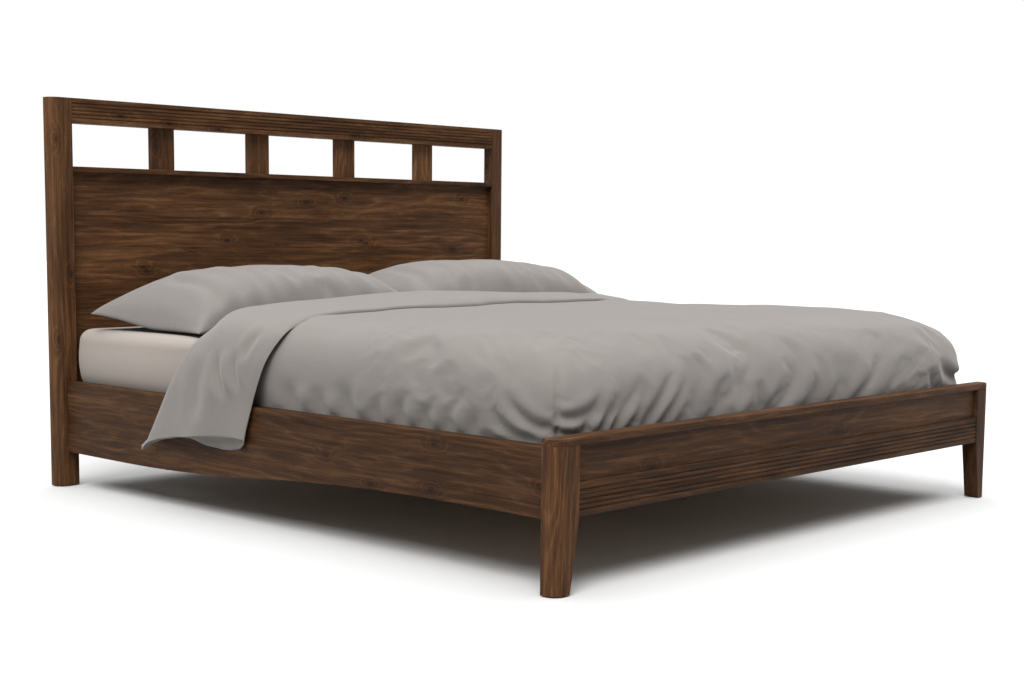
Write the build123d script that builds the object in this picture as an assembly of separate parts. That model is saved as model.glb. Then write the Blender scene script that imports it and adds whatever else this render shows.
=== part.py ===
"""A low-foot-end wooden bed frame with its slatted base, fixings, mattress and bedding.

Frame: millimetres. +X is to the right of somebody who stands at the foot and looks at the
headboard, +Y is towards the headboard and +Z is up. The origin is the middle of the bed's
footprint, on the floor. "left" and "right" in names are -X and +X.
"""
import os

from build123d import *

# ---- driving dimensions -------------------------------------------------------------------
OVERALL_WIDTH = 1956.0
OVERALL_LENGTH = 2100.0
HEADBOARD_HEIGHT = 1183.0
FOOTBOARD_HEIGHT = 350.0

GLIDE_HEIGHT = 3.0
GLIDE_RADIUS = 14.0
GLIDE_INSET = 2.0

HEAD_POST_WIDTH = 72.0
HEAD_POST_DEPTH = 44.0
FOOT_POST_WIDTH = 76.0
FOOT_POST_DEPTH = 46.0
FOOT_POST_FLOOR_WIDTH = 47.0
POST_CORNER_RADIUS = 32.0
ARRIS = 1.6

REEDED_RAIL_HEIGHT = 75.0
REED_GROOVES = 5
REED_PITCH = 11.0
REED_GROOVE_RADIUS = 2.7

MID_RAIL_TOP = 978.0
MID_RAIL_HEIGHT = 16.0
MULLIONS = 4
MULLION_WIDTH = 84.0
MULLION_THICKNESS = 22.0

HEAD_PANEL_THICKNESS = 15.0
HEAD_PANEL_SETBACK = 21.0
HEAD_BOTTOM_RAIL_BASE = 165.0
HEAD_BOTTOM_RAIL_TOP = 240.0
HEAD_BOTTOM_RAIL_SETBACK = 8.0
HEAD_BOTTOM_RAIL_DEPTH = 36.0

CAP_RAIL_HEIGHT = 18.0
CAP_RAIL_EDGE = 4.0
FOOT_RAIL_BASE = 173.0
FOOT_RAIL_SETBACK = 2.0
FOOT_RAIL_DEPTH = 32.0
FOOT_PANEL_SETBACK = 12.0
FOOT_PANEL_THICKNESS = 12.0

GROOVE_DEPTH_POST = 8.0
GROOVE_DEPTH_RAIL = 6.0
FIT = 0.25
CUT_PAST = 1.0

SIDE_RAIL_SETBACK = 36.0
SIDE_RAIL_THICKNESS = 34.0
SIDE_RAIL_TOP = 324.0
SIDE_RAIL_BASE_FOOT = 164.0
SIDE_RAIL_BASE_HEAD = 107.0
SWEEP_START = 423.0
SWEEP_END = 1748.0

LEDGER_WIDTH = 30.0
LEDGER_HEIGHT = 40.0
SLAT_COUNT = 13
SLAT_WIDTH = 90.0
SLAT_THICKNESS = 18.0
SLAT_SEAT = 240.0
SLAT_END_GAP = 2.0
SLAT_EDGE = 2.5
FIRST_SLAT_GAP = 10.0
LEDGER_FOOT_GAP = 12.0
LEDGER_HEAD_GAP = 6.0

BEAM_WIDTH = 40.0
BEAM_BASE = 175.0
HANGER_GAUGE = 2.5
HANGER_FLANGE = 20.0
HANGER_REACH = 42.0
HANGER_TOP_GAP = 3.0
HANGER_SCREW_UP = 14.0
HANGER_SCREW_DOWN = 16.0
BEAM_END_GAP = 1.0
CENTRE_LEG_SIDE = 45.0
CENTRE_LEG_CORNER = 3.0
CENTRE_LEG_FROM_FOOT = (750.0, 1450.0)
LEG_BOLT_RADIUS = 4.0
LEG_BOLT_HALF = 40.0

DOWEL_RADIUS = 5.0
DOWEL_HALF = 25.0
SMALL_DOWEL_RADIUS = 4.0
SMALL_DOWEL_HALF = 10.0
BORE_GAP = 0.2
BORE_END_GAP = 1.0
DOWEL_EDGE = 18.0
HEAD_BOTTOM_DOWEL_DOWN = 22.0
FOOT_DOWEL_UP = 31.0
FOOT_DOWEL_DOWN = 17.0
FOOT_DOWEL_SETBACK = 20.0
MID_DOWEL_SETBACK = 10.0
MULLION_DOWEL_OFFSET = 24.0
CAP_DOWELS_FROM_SIDE = (28.0, 56.0)

PLATE_GAUGE = 2.5
PLATE_WIDTH = 20.0
PLATE_BASE = 180.0
PLATE_TOP = 310.0
HOOK_SEATS = (205.0, 262.0)
HOOK_THICKNESS = 3.0
HOOK_TAB = 14.0
HOOK_DROP = 8.0
HOOK_REACH = 9.0
HOOK_PLAY = 0.3
SLOT_WIDTH = 4.0
SLOT_HEIGHT = 24.0
POCKET_WIDTH = 10.0
POCKET_DEPTH = 12.5
POCKET_PLAY = 2.0
PLATE_SCREW_INSET = 10.0

SCREW_HEAD_RADIUS = 3.8
SCREW_HEAD_DEPTH = 2.0
SCREW_RADIUS = 1.8
SCREW_BORE_GAP = 0.2
SCREW_HEAD_SINK = 0.1
PLATE_SCREW_LENGTH = 22.0
LEDGER_SCREW_LENGTH = 45.0
LEDGER_SCREWS = 7
LEDGER_SCREW_END = 100.0
LEDGER_SCREW_DOWN = 28.0
SLAT_SCREW_LENGTH = 35.0

MATTRESS_WIDTH = 1800.0
MATTRESS_LENGTH = 2000.0
MATTRESS_THICKNESS = 227.0
MATTRESS_FOOT_GAP = 73.0
MATTRESS_CORNER = 60.0
MATTRESS_EDGE = 28.0
SOFT_GAP = 0.4

PILLOW_WIDTH = 900.0
PILLOW_DEPTH = 500.0
PILLOW_THICKNESS = 205.0
PILLOW_BED_GAP = 4.0
PILLOW_MIDDLE_GAP = 5.0
PILLOW_CORNER = 40.0
PILLOW_EDGE = 60.0

DUVET_LOFT = 68.0
DUVET_SIDE = 14.0
DUVET_FOOT = 23.0
DUVET_EDGE = 10.0
DUVET_RAIL_GAP = 1.0
DUVET_HEAD_EDGE = 1500.0
TURNBACK_START = 1120.0
TURNBACK_LOFT = 42.0
DRAPE_THICKNESS = 30.0
DRAPE_BASE = 192.0
DRAPE_END = 1580.0

# ---- places worked out from them ----------------------------------------------------------
HALF_WIDTH = OVERALL_WIDTH / 2
FOOT_FACE = -OVERALL_LENGTH / 2
HEAD_BACK = OVERALL_LENGTH / 2
HEAD_FACE = HEAD_BACK - HEAD_POST_DEPTH
FOOT_BACK = FOOT_FACE + FOOT_POST_DEPTH
HEAD_CLEAR = HALF_WIDTH - HEAD_POST_WIDTH
FOOT_CLEAR = HALF_WIDTH - FOOT_POST_WIDTH
TOP_RAIL_BASE = HEADBOARD_HEIGHT - REEDED_RAIL_HEIGHT
MID_RAIL_BASE = MID_RAIL_TOP - MID_RAIL_HEIGHT
HEAD_PANEL_FACE = HEAD_FACE + HEAD_PANEL_SETBACK
HEAD_MIDDLE = HEAD_FACE + HEAD_POST_DEPTH / 2
FOOT_RAIL_TOP = FOOT_RAIL_BASE + REEDED_RAIL_HEIGHT
CAP_RAIL_BASE = FOOTBOARD_HEIGHT - CAP_RAIL_HEIGHT
FOOT_DOWEL_LINE = FOOT_FACE + FOOT_DOWEL_SETBACK
FOOT_RAIL_FACE = FOOT_FACE + FOOT_RAIL_SETBACK
FOOT_RAIL_BACK = FOOT_RAIL_FACE + FOOT_RAIL_DEPTH
FOOT_PANEL_FACE = FOOT_FACE + FOOT_PANEL_SETBACK
RAIL_OUTSIDE = HALF_WIDTH - SIDE_RAIL_SETBACK
RAIL_INSIDE = RAIL_OUTSIDE - SIDE_RAIL_THICKNESS
RAIL_MIDDLE = (RAIL_OUTSIDE + RAIL_INSIDE) / 2
SLAT_TOP = SLAT_SEAT + SLAT_THICKNESS
HEAD_RAIL_FACE = HEAD_FACE + HEAD_BOTTOM_RAIL_SETBACK
MATTRESS_BASE = SLAT_TOP + SOFT_GAP
MATTRESS_TOP = MATTRESS_BASE + MATTRESS_THICKNESS
MATTRESS_FOOT = FOOT_FACE + MATTRESS_FOOT_GAP
MATTRESS_HEAD = MATTRESS_FOOT + MATTRESS_LENGTH
SIDES = (("left", -1), ("right", 1))
ENDS = (("head", 1, HEAD_FACE), ("foot", -1, FOOT_BACK))


def block(x0, x1, y0, y1, z0, z1):
    """A box between two opposite corners, given in any order along each axis."""
    size = (abs(x1 - x0), abs(y1 - y0), abs(z1 - z0))
    return Pos((x0 + x1) / 2, (y0 + y1) / 2, (z0 + z1) / 2) * Box(*size)


def rod(radius, start, direction, length):
    """A round bar from a start point along a direction."""
    return Plane(origin=start, z_dir=direction) * Cylinder(
        radius, length, align=(Align.CENTER, Align.CENTER, Align.MIN)
    )


def screw(start, direction, length, gap=0.0):
    """A countersunk screw from its head's face inwards; a gap makes it the hole instead."""
    lip = SCREW_HEAD_SINK - gap / 2
    seat = tuple(s + d * lip for s, d in zip(start, direction))
    head = Plane(origin=seat, z_dir=direction) * Cone(
        SCREW_HEAD_RADIUS + gap,
        SCREW_RADIUS + gap,
        SCREW_HEAD_DEPTH + gap,
        align=(Align.CENTER, Align.CENTER, Align.MIN),
    )
    return head + rod(SCREW_RADIUS + gap, start if gap else seat, direction, length + gap)


def save(name, shape):
    """Write one named piece, as a single solid or as a group of separate solids."""
    solids = shape.solids() if hasattr(shape, "solids") else [s for p in shape for s in p.solids()]
    piece = solids[0] if len(solids) == 1 else Compound(children=solids)
    export_step(piece, f"parts/{name}.step")


# ---- holes and fixings shared by several pieces -------------------------------------------
def dowel_sites_head(side):
    """Start points of the dowels between one head post and its three rails."""
    x = side * HEAD_CLEAR
    heights = (
        TOP_RAIL_BASE + DOWEL_EDGE,
        HEADBOARD_HEIGHT - DOWEL_EDGE,
        HEAD_BOTTOM_RAIL_BASE + DOWEL_EDGE,
        HEAD_BOTTOM_RAIL_TOP - HEAD_BOTTOM_DOWEL_DOWN,
    )
    return [(x, HEAD_MIDDLE, z) for z in heights]


def dowels_across(sites, radius, half):
    """Dowels along X, centred on their joint."""
    return [rod(radius, (x - half, y, z), (1, 0, 0), 2 * half) for x, y, z in sites]


def dowels_upright(sites, radius, half):
    """Dowels along Z, centred on their joint."""
    return [rod(radius, (x, y, z - half), (0, 0, 1), 2 * half) for x, y, z in sites]


def mid_rail_sites(side):
    """The one dowel at each end of the headboard's thin middle rail."""
    return [(side * HEAD_CLEAR, HEAD_FACE + MID_DOWEL_SETBACK, MID_RAIL_TOP - MID_RAIL_HEIGHT / 2)]


def mullion_centres():
    """X of each mullion, so that the windows between posts and mullions are equal."""
    window = (2 * HEAD_CLEAR - MULLIONS * MULLION_WIDTH) / (MULLIONS + 1)
    pitch = window + MULLION_WIDTH
    return [(i - (MULLIONS - 1) / 2) * pitch for i in range(MULLIONS)]


def mullion_sites(height):
    """Two dowels for each mullion end, at one of its two joints."""
    y = HEAD_BACK - MULLION_THICKNESS / 2
    offsets = (-MULLION_DOWEL_OFFSET, MULLION_DOWEL_OFFSET)
    return [(x + offset, y, height) for x in mullion_centres() for offset in offsets]


def foot_rail_sites(side):
    """Dowels between one foot post and the reeded rail."""
    x = side * FOOT_CLEAR
    heights = (FOOT_RAIL_BASE + FOOT_DOWEL_UP, FOOT_RAIL_TOP - FOOT_DOWEL_DOWN)
    return [(x, FOOT_DOWEL_LINE, z) for z in heights]


def cap_sites(side):
    """Dowels between one foot post and the cap rail that lies on it."""
    return [(side * (HALF_WIDTH - inset), FOOT_DOWEL_LINE, CAP_RAIL_BASE) for inset in CAP_DOWELS_FROM_SIDE]


def head_dowels():
    """Every dowel of the headboard."""
    rods = []
    for _, side in SIDES:
        rods += dowels_across(dowel_sites_head(side), DOWEL_RADIUS, DOWEL_HALF)
        rods += dowels_across(mid_rail_sites(side), SMALL_DOWEL_RADIUS, DOWEL_HALF)
    for height in (MID_RAIL_TOP, TOP_RAIL_BASE):
        rods += dowels_upright(mullion_sites(height), SMALL_DOWEL_RADIUS, SMALL_DOWEL_HALF)
    return rods


def foot_dowels():
    """Every dowel of the footboard."""
    rods = []
    for _, side in SIDES:
        rods += dowels_across(foot_rail_sites(side), DOWEL_RADIUS, DOWEL_HALF)
        rods += dowels_upright(cap_sites(side), SMALL_DOWEL_RADIUS, SMALL_DOWEL_HALF)
    return rods


def dowel_bores(head):
    """The bores for the dowels of one board, a little larger than the dowels."""
    radius = DOWEL_RADIUS + BORE_GAP
    small = SMALL_DOWEL_RADIUS + BORE_GAP
    half = DOWEL_HALF + BORE_END_GAP
    small_half = SMALL_DOWEL_HALF + BORE_END_GAP
    rods = []
    for _, side in SIDES:
        if head:
            rods += dowels_across(dowel_sites_head(side), radius, half)
            rods += dowels_across(mid_rail_sites(side), small, half)
        else:
            rods += dowels_across(foot_rail_sites(side), radius, half)
            rods += dowels_upright(cap_sites(side), small, small_half)
    if head:
        for height in (MID_RAIL_TOP, TOP_RAIL_BASE):
            rods += dowels_upright(mullion_sites(height), small, small_half)
    return rods


def drill(shape, tools):
    """Cut only the tools whose boxes meet the shape."""
    limits = shape.bounding_box()
    for tool in tools:
        reach = tool.bounding_box()
        apart = (
            reach.min.X > limits.max.X or reach.max.X < limits.min.X
            or reach.min.Y > limits.max.Y or reach.max.Y < limits.min.Y
            or reach.min.Z > limits.max.Z or reach.max.Z < limits.min.Z
        )
        if not apart:
            shape -= tool
    return shape


# ---- rail-to-post hook fixings ------------------------------------------------------------
def hooks(side, toward, joint):
    """The hooks of one plate: tabs that pass the slots and turn down behind the post's plate."""
    x = side * RAIL_MIDDLE
    behind = PLATE_GAUGE + HOOK_PLAY
    tabs = []
    for seat in HOOK_SEATS:
        tab = block(x - HOOK_THICKNESS / 2, x + HOOK_THICKNESS / 2,
                    joint, joint + toward * HOOK_REACH, seat, seat + HOOK_TAB)
        drop = block(x - HOOK_THICKNESS / 2, x + HOOK_THICKNESS / 2,
                     joint + toward * behind, joint + toward * HOOK_REACH, seat - HOOK_DROP, seat)
        tabs.append(tab + drop)
    return tabs


def plate_screw_sites(side, joint):
    """Where the two screws of a plate go in, on the joint's plane."""
    x = side * RAIL_MIDDLE
    return [(x, joint, z) for z in (PLATE_BASE + PLATE_SCREW_INSET, PLATE_TOP - PLATE_SCREW_INSET)]


def plate_screws(side, toward, joint, gap=0.0):
    """Screws of the post's plate (into the post) and of the rail's plate (into the rail)."""
    pieces = []
    for site in plate_screw_sites(side, joint):
        pieces.append(screw(site, (0, toward, 0), PLATE_SCREW_LENGTH, gap))
        pieces.append(screw(site, (0, -toward, 0), PLATE_SCREW_LENGTH, gap))
    return pieces


def plate_blank(side, toward, joint, grow=0.0):
    """A flat plate let in flush with the joint's plane, on the side that `toward` gives."""
    x = side * RAIL_MIDDLE
    half = PLATE_WIDTH / 2 + grow
    return block(x - half, x + half, joint, joint + toward * (PLATE_GAUGE + grow),
                 PLATE_BASE - grow, PLATE_TOP + grow)


def rail_plate(side, toward, joint):
    """The plate with two hooks, let into the end of a side rail."""
    plate = plate_blank(side, -toward, joint)
    for tab in hooks(side, toward, joint):
        plate += tab
    return drill(plate, plate_screws(side, toward, joint, SCREW_BORE_GAP))


def post_plate(side, toward, joint):
    """The slotted plate let into a post."""
    x = side * RAIL_MIDDLE
    plate = plate_blank(side, toward, joint)
    for seat in HOOK_SEATS:
        plate -= block(x - SLOT_WIDTH / 2, x + SLOT_WIDTH / 2, joint - toward * CUT_PAST,
                       joint + toward * (PLATE_GAUGE + CUT_PAST), seat, seat + SLOT_HEIGHT)
    return drill(plate, plate_screws(side, toward, joint, SCREW_BORE_GAP))


def post_cuts(side, toward, joint):
    """What a post loses to its plate: the flush recess, the hook pocket and the screw holes."""
    x = side * RAIL_MIDDLE
    cuts = [plate_blank(side, toward, joint, FIT)]
    for seat in HOOK_SEATS:
        cuts.append(block(x - POCKET_WIDTH / 2, x + POCKET_WIDTH / 2, joint, joint + toward * POCKET_DEPTH,
                          seat - HOOK_DROP - POCKET_PLAY, seat + SLOT_HEIGHT + POCKET_PLAY))
    return cuts + plate_screws(side, toward, joint, SCREW_BORE_GAP)


def rail_cuts(side, toward, joint):
    """What a side rail's end loses to its plate."""
    return [plate_blank(side, -toward, joint, FIT)] + plate_screws(side, toward, joint, SCREW_BORE_GAP)


# ---- headboard ----------------------------------------------------------------------------
def post_plan(side, width, depth, face):
    """Plan of a post: a large round on the outer corner of its face towards -Y, small ones elsewhere."""
    outer = side * HALF_WIDTH
    inner = side * (HALF_WIDTH - width)
    back = face + depth
    outline = Polyline((inner, face), (outer, face), (outer, back), (inner, back), close=True)
    plan = make_face(outline)
    show = plan.vertices().filter_by(lambda v: abs(v.X - outer) < 1 and abs(v.Y - face) < 1)
    plan = fillet(show, POST_CORNER_RADIUS)
    rest = plan.vertices().filter_by(lambda v: abs(v.X - inner) < 1 or abs(v.Y - back) < 1)
    corners = [v for v in rest if not (abs(v.Y - face) < 1 and abs(v.X - inner) > 1)]
    return fillet(corners, ARRIS)


def headboard_post(side):
    """A full-height head post with its panel groove, dowel bores and hook pocket."""
    plan = post_plan(side, HEAD_POST_WIDTH, HEAD_POST_DEPTH, HEAD_FACE)
    post = extrude(Pos(0, 0, GLIDE_HEIGHT) * plan, HEADBOARD_HEIGHT - GLIDE_HEIGHT)
    post = fillet(post.edges().group_by(Axis.Z)[-1], ARRIS)
    x = side * HEAD_CLEAR
    post -= block(x - side * CUT_PAST, x + side * (GROOVE_DEPTH_POST + FIT),
                  HEAD_PANEL_FACE - FIT, HEAD_PANEL_FACE + HEAD_PANEL_THICKNESS + FIT,
                  HEAD_BOTTOM_RAIL_TOP - GROOVE_DEPTH_RAIL - FIT, MID_RAIL_BASE + GROOVE_DEPTH_RAIL + FIT)
    post = drill(post, dowel_bores(True))
    return drill(post, post_cuts(side, 1, HEAD_FACE))


def reeded_rail(half_length, face, back, base):
    """A rail along X whose front face carries half-round grooves between two plain bands."""
    rail = block(-half_length, half_length, face, back, base, base + REEDED_RAIL_HEIGHT)
    edges = rail.edges().filter_by(Axis.X)
    rail = fillet(edges, ARRIS)
    first = base + (REEDED_RAIL_HEIGHT - (REED_GROOVES - 1) * REED_PITCH) / 2
    for i in range(REED_GROOVES):
        start = (-half_length - CUT_PAST, face, first + i * REED_PITCH)
        rail -= rod(REED_GROOVE_RADIUS, start, (1, 0, 0), 2 * (half_length + CUT_PAST))
    return rail


def headboard_top_rail():
    """The reeded top rail, flush with the posts in front, behind and on top."""
    rail = reeded_rail(HEAD_CLEAR, HEAD_FACE, HEAD_BACK, TOP_RAIL_BASE)
    return drill(rail, dowel_bores(True))


def headboard_mid_rail():
    """The thin rail under the windows, grooved below for the panel."""
    rail = block(-HEAD_CLEAR, HEAD_CLEAR, HEAD_FACE, HEAD_BACK, MID_RAIL_BASE, MID_RAIL_TOP)
    rail = fillet(rail.edges().filter_by(Axis.X), ARRIS)
    rail -= block(-HEAD_CLEAR - CUT_PAST, HEAD_CLEAR + CUT_PAST, HEAD_PANEL_FACE - FIT,
                  HEAD_PANEL_FACE + HEAD_PANEL_THICKNESS + FIT,
                  MID_RAIL_BASE - CUT_PAST, MID_RAIL_BASE + GROOVE_DEPTH_RAIL + FIT)
    return drill(rail, dowel_bores(True))


def headboard_bottom_rail():
    """The hidden bottom rail, grooved above for the panel."""
    rail = block(-HEAD_CLEAR, HEAD_CLEAR, HEAD_RAIL_FACE, HEAD_RAIL_FACE + HEAD_BOTTOM_RAIL_DEPTH,
                 HEAD_BOTTOM_RAIL_BASE, HEAD_BOTTOM_RAIL_TOP)
    rail = fillet(rail.edges().filter_by(Axis.X), ARRIS)
    rail -= block(-HEAD_CLEAR - CUT_PAST, HEAD_CLEAR + CUT_PAST, HEAD_PANEL_FACE - FIT,
                  HEAD_PANEL_FACE + HEAD_PANEL_THICKNESS + FIT,
                  HEAD_BOTTOM_RAIL_TOP - GROOVE_DEPTH_RAIL - FIT, HEAD_BOTTOM_RAIL_TOP + CUT_PAST)
    rail = drill(rail, dowel_bores(True))
    return drill(rail, hanger_screws(1, HEAD_RAIL_FACE, SCREW_BORE_GAP))


def headboard_panel():
    """The broad panel, its edges held in the grooves of posts and rails."""
    reach = HEAD_CLEAR + GROOVE_DEPTH_POST
    return block(-reach, reach, HEAD_PANEL_FACE, HEAD_PANEL_FACE + HEAD_PANEL_THICKNESS,
                 HEAD_BOTTOM_RAIL_TOP - GROOVE_DEPTH_RAIL, MID_RAIL_BASE + GROOVE_DEPTH_RAIL)


def mullion(x):
    """A short upright between the middle rail and the top rail."""
    half = MULLION_WIDTH / 2
    post = block(x - half, x + half, HEAD_BACK - MULLION_THICKNESS, HEAD_BACK, MID_RAIL_TOP, TOP_RAIL_BASE)
    post = fillet(post.edges().filter_by(Axis.Z), ARRIS)
    return drill(post, dowel_bores(True))


# ---- footboard ----------------------------------------------------------------------------
def foot_post(side):
    """A foot post, tapered on its inner face below the reeded rail."""
    plan = post_plan(side, FOOT_POST_WIDTH, FOOT_POST_DEPTH, FOOT_FACE)
    post = extrude(Pos(0, 0, GLIDE_HEIGHT) * plan, CAP_RAIL_BASE - GLIDE_HEIGHT)
    post = fillet(post.edges().group_by(Axis.Z)[-1], ARRIS)
    inner = side * FOOT_CLEAR
    floor_inner = side * (HALF_WIDTH - FOOT_POST_FLOOR_WIDTH)
    beyond = inner - side * CUT_PAST
    wedge = Polyline((beyond, 0), (floor_inner, 0), (inner, FOOT_RAIL_BASE), (beyond, FOOT_RAIL_BASE),
                     close=True)
    behind = Plane(origin=(0, FOOT_BACK + CUT_PAST, 0), x_dir=(1, 0, 0), z_dir=(0, -1, 0))
    post -= extrude(behind * make_face(wedge), FOOT_POST_DEPTH + 2 * CUT_PAST)
    post -= block(inner - side * CUT_PAST, inner + side * (GROOVE_DEPTH_POST + FIT),
                  FOOT_PANEL_FACE - FIT, FOOT_PANEL_FACE + FOOT_PANEL_THICKNESS + FIT,
                  FOOT_RAIL_TOP - GROOVE_DEPTH_RAIL - FIT, CAP_RAIL_BASE + CUT_PAST)
    post = drill(post, dowel_bores(False))
    return drill(post, post_cuts(side, -1, FOOT_BACK))


def foot_cap_rail():
    """The full-width cap, rounded with the posts, grooved below for the panel."""
    outline = Polyline((-HALF_WIDTH, FOOT_FACE), (HALF_WIDTH, FOOT_FACE),
                       (HALF_WIDTH, FOOT_BACK), (-HALF_WIDTH, FOOT_BACK), close=True)
    plan = make_face(outline)
    plan = fillet(plan.vertices().group_by(Axis.Y)[0], POST_CORNER_RADIUS)
    plan = fillet(plan.vertices().group_by(Axis.Y)[-1], ARRIS)
    cap = extrude(Pos(0, 0, CAP_RAIL_BASE) * plan, CAP_RAIL_HEIGHT)
    cap = fillet(cap.edges().group_by(Axis.Z)[-1], CAP_RAIL_EDGE)
    cap = fillet(cap.edges().group_by(Axis.Z)[0], ARRIS)
    reach = FOOT_CLEAR + GROOVE_DEPTH_POST + FIT
    cap -= block(-reach, reach, FOOT_PANEL_FACE - FIT, FOOT_PANEL_FACE + FOOT_PANEL_THICKNESS + FIT,
                 CAP_RAIL_BASE - CUT_PAST, CAP_RAIL_BASE + GROOVE_DEPTH_RAIL + FIT)
    return drill(cap, dowel_bores(False))


def foot_reeded_rail():
    """The reeded rail between the foot posts, grooved above for the panel."""
    rail = reeded_rail(FOOT_CLEAR, FOOT_RAIL_FACE, FOOT_RAIL_BACK, FOOT_RAIL_BASE)
    rail -= block(-FOOT_CLEAR - CUT_PAST, FOOT_CLEAR + CUT_PAST, FOOT_PANEL_FACE - FIT,
                  FOOT_PANEL_FACE + FOOT_PANEL_THICKNESS + FIT,
                  FOOT_RAIL_TOP - GROOVE_DEPTH_RAIL - FIT, FOOT_RAIL_TOP + CUT_PAST)
    rail = drill(rail, dowel_bores(False))
    return drill(rail, hanger_screws(-1, FOOT_RAIL_BACK, SCREW_BORE_GAP))


def foot_panel():
    """The narrow panel between cap and reeded rail."""
    reach = FOOT_CLEAR + GROOVE_DEPTH_POST
    return block(-reach, reach, FOOT_PANEL_FACE, FOOT_PANEL_FACE + FOOT_PANEL_THICKNESS,
                 FOOT_RAIL_TOP - GROOVE_DEPTH_RAIL, CAP_RAIL_BASE + GROOVE_DEPTH_RAIL)


# ---- side rails and slatted base ----------------------------------------------------------
def side_rail(side):
    """A side rail: shallow at the foot, deep at the head, joined below by a long ogee."""
    start = FOOT_FACE + SWEEP_START
    end = FOOT_FACE + SWEEP_END
    middle = ((start + end) / 2, (SIDE_RAIL_BASE_FOOT + SIDE_RAIL_BASE_HEAD) / 2)
    under_foot = Line((FOOT_BACK, SIDE_RAIL_BASE_FOOT), (start, SIDE_RAIL_BASE_FOOT))
    fall = TangentArc((start, SIDE_RAIL_BASE_FOOT), middle, tangent=(1, 0))
    ease = TangentArc((end, SIDE_RAIL_BASE_HEAD), middle, tangent=(-1, 0))
    over = Polyline((end, SIDE_RAIL_BASE_HEAD), (HEAD_FACE, SIDE_RAIL_BASE_HEAD), (HEAD_FACE, SIDE_RAIL_TOP),
                    (FOOT_BACK, SIDE_RAIL_TOP), (FOOT_BACK, SIDE_RAIL_BASE_FOOT))
    outline = make_face(Wire([*under_foot.edges(), *fall.edges(), *ease.edges(), *over.edges()]))
    inner_plane = Plane(origin=(min(side * RAIL_INSIDE, side * RAIL_OUTSIDE), 0, 0),
                        x_dir=(0, 1, 0), z_dir=(1, 0, 0))
    rail = extrude(inner_plane * outline, SIDE_RAIL_THICKNESS)
    rail = fillet(rail.edges().filter_by(Axis.Y).group_by(Axis.Z)[-1], ARRIS)
    for _, toward, joint in ENDS:
        rail = drill(rail, rail_cuts(side, toward, joint))
    return drill(rail, ledger_screws(side, SCREW_BORE_GAP))


def ledger_screws(side, gap=0.0):
    """The screws that hold a ledger to its side rail."""
    span = HEAD_FACE - FOOT_BACK - 2 * LEDGER_SCREW_END
    inner = side * (RAIL_INSIDE - LEDGER_WIDTH)
    height = SLAT_SEAT - LEDGER_SCREW_DOWN
    pieces = []
    for i in range(LEDGER_SCREWS):
        y = FOOT_BACK + LEDGER_SCREW_END + span * i / (LEDGER_SCREWS - 1)
        pieces.append(screw((inner, y, height), (side, 0, 0), LEDGER_SCREW_LENGTH, gap))
    return pieces


def ledger(side):
    """The strip along a side rail that carries the slats' ends."""
    strip = block(side * (RAIL_INSIDE - LEDGER_WIDTH), side * RAIL_INSIDE,
                  FOOT_BACK + LEDGER_FOOT_GAP, HEAD_FACE - LEDGER_HEAD_GAP,
                  SLAT_SEAT - LEDGER_HEIGHT, SLAT_SEAT)
    strip = drill(strip, ledger_screws(side, SCREW_BORE_GAP))
    return drill(strip, slat_screws(SCREW_BORE_GAP))


def slat_centres():
    """Y of each slat, evenly spaced from one end of the frame to the other."""
    first = FOOT_BACK + FIRST_SLAT_GAP + SLAT_WIDTH / 2
    last = HEAD_FACE - FIRST_SLAT_GAP - SLAT_WIDTH / 2
    return [first + (last - first) * i / (SLAT_COUNT - 1) for i in range(SLAT_COUNT)]


def slat_screws(gap=0.0):
    """One screw through each slat end into its ledger."""
    x = RAIL_INSIDE - LEDGER_WIDTH / 2
    return [
        screw((side * x, y, SLAT_TOP), (0, 0, -1), SLAT_SCREW_LENGTH, gap)
        for y in slat_centres()
        for _, side in SIDES
    ]


def slat(y):
    """One slat across the full width of the base."""
    reach = RAIL_INSIDE - SLAT_END_GAP
    board = block(-reach, reach, y - SLAT_WIDTH / 2, y + SLAT_WIDTH / 2, SLAT_SEAT, SLAT_TOP)
    board = fillet(board.edges().filter_by(Axis.X), SLAT_EDGE)
    return drill(board, slat_screws(SCREW_BORE_GAP))


def hanger_screws(toward, face, gap=0.0):
    """Four screws through a hanger's flanges into the rail behind it."""
    x = BEAM_WIDTH / 2 + HANGER_GAUGE + HANGER_FLANGE / 2
    start = face - toward * HANGER_GAUGE
    return [
        screw((side * x, start, z), (0, toward, 0), PLATE_SCREW_LENGTH, gap)
        for side in (-1, 1)
        for z in (BEAM_BASE + HANGER_SCREW_UP, SLAT_SEAT - HANGER_SCREW_DOWN)
    ]


def beam_hanger(toward, face):
    """A pressed steel stirrup: two flanges on the rail, two cheeks and a seat for the beam."""
    half = BEAM_WIDTH / 2 + FIT
    outer = half + HANGER_GAUGE
    front = face - toward * HANGER_REACH
    low = BEAM_BASE - HANGER_GAUGE
    high = SLAT_SEAT - HANGER_TOP_GAP
    body = block(-outer - HANGER_FLANGE, outer + HANGER_FLANGE, face, face - toward * HANGER_GAUGE, low, high)
    for side in (-1, 1):
        body += block(side * half, side * outer, face, front, low, high)
    body += block(-outer, outer, face, front, low, BEAM_BASE)
    return drill(body, hanger_screws(toward, face, SCREW_BORE_GAP))


def centre_beam():
    """The beam under the middle of the slats, resting in the two hangers."""
    foot = FOOT_RAIL_BACK + HANGER_GAUGE + BEAM_END_GAP
    head = HEAD_RAIL_FACE - HANGER_GAUGE - BEAM_END_GAP
    beam = block(-BEAM_WIDTH / 2, BEAM_WIDTH / 2, foot, head, BEAM_BASE, SLAT_SEAT)
    return drill(beam, leg_bolts(BORE_GAP))


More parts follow.
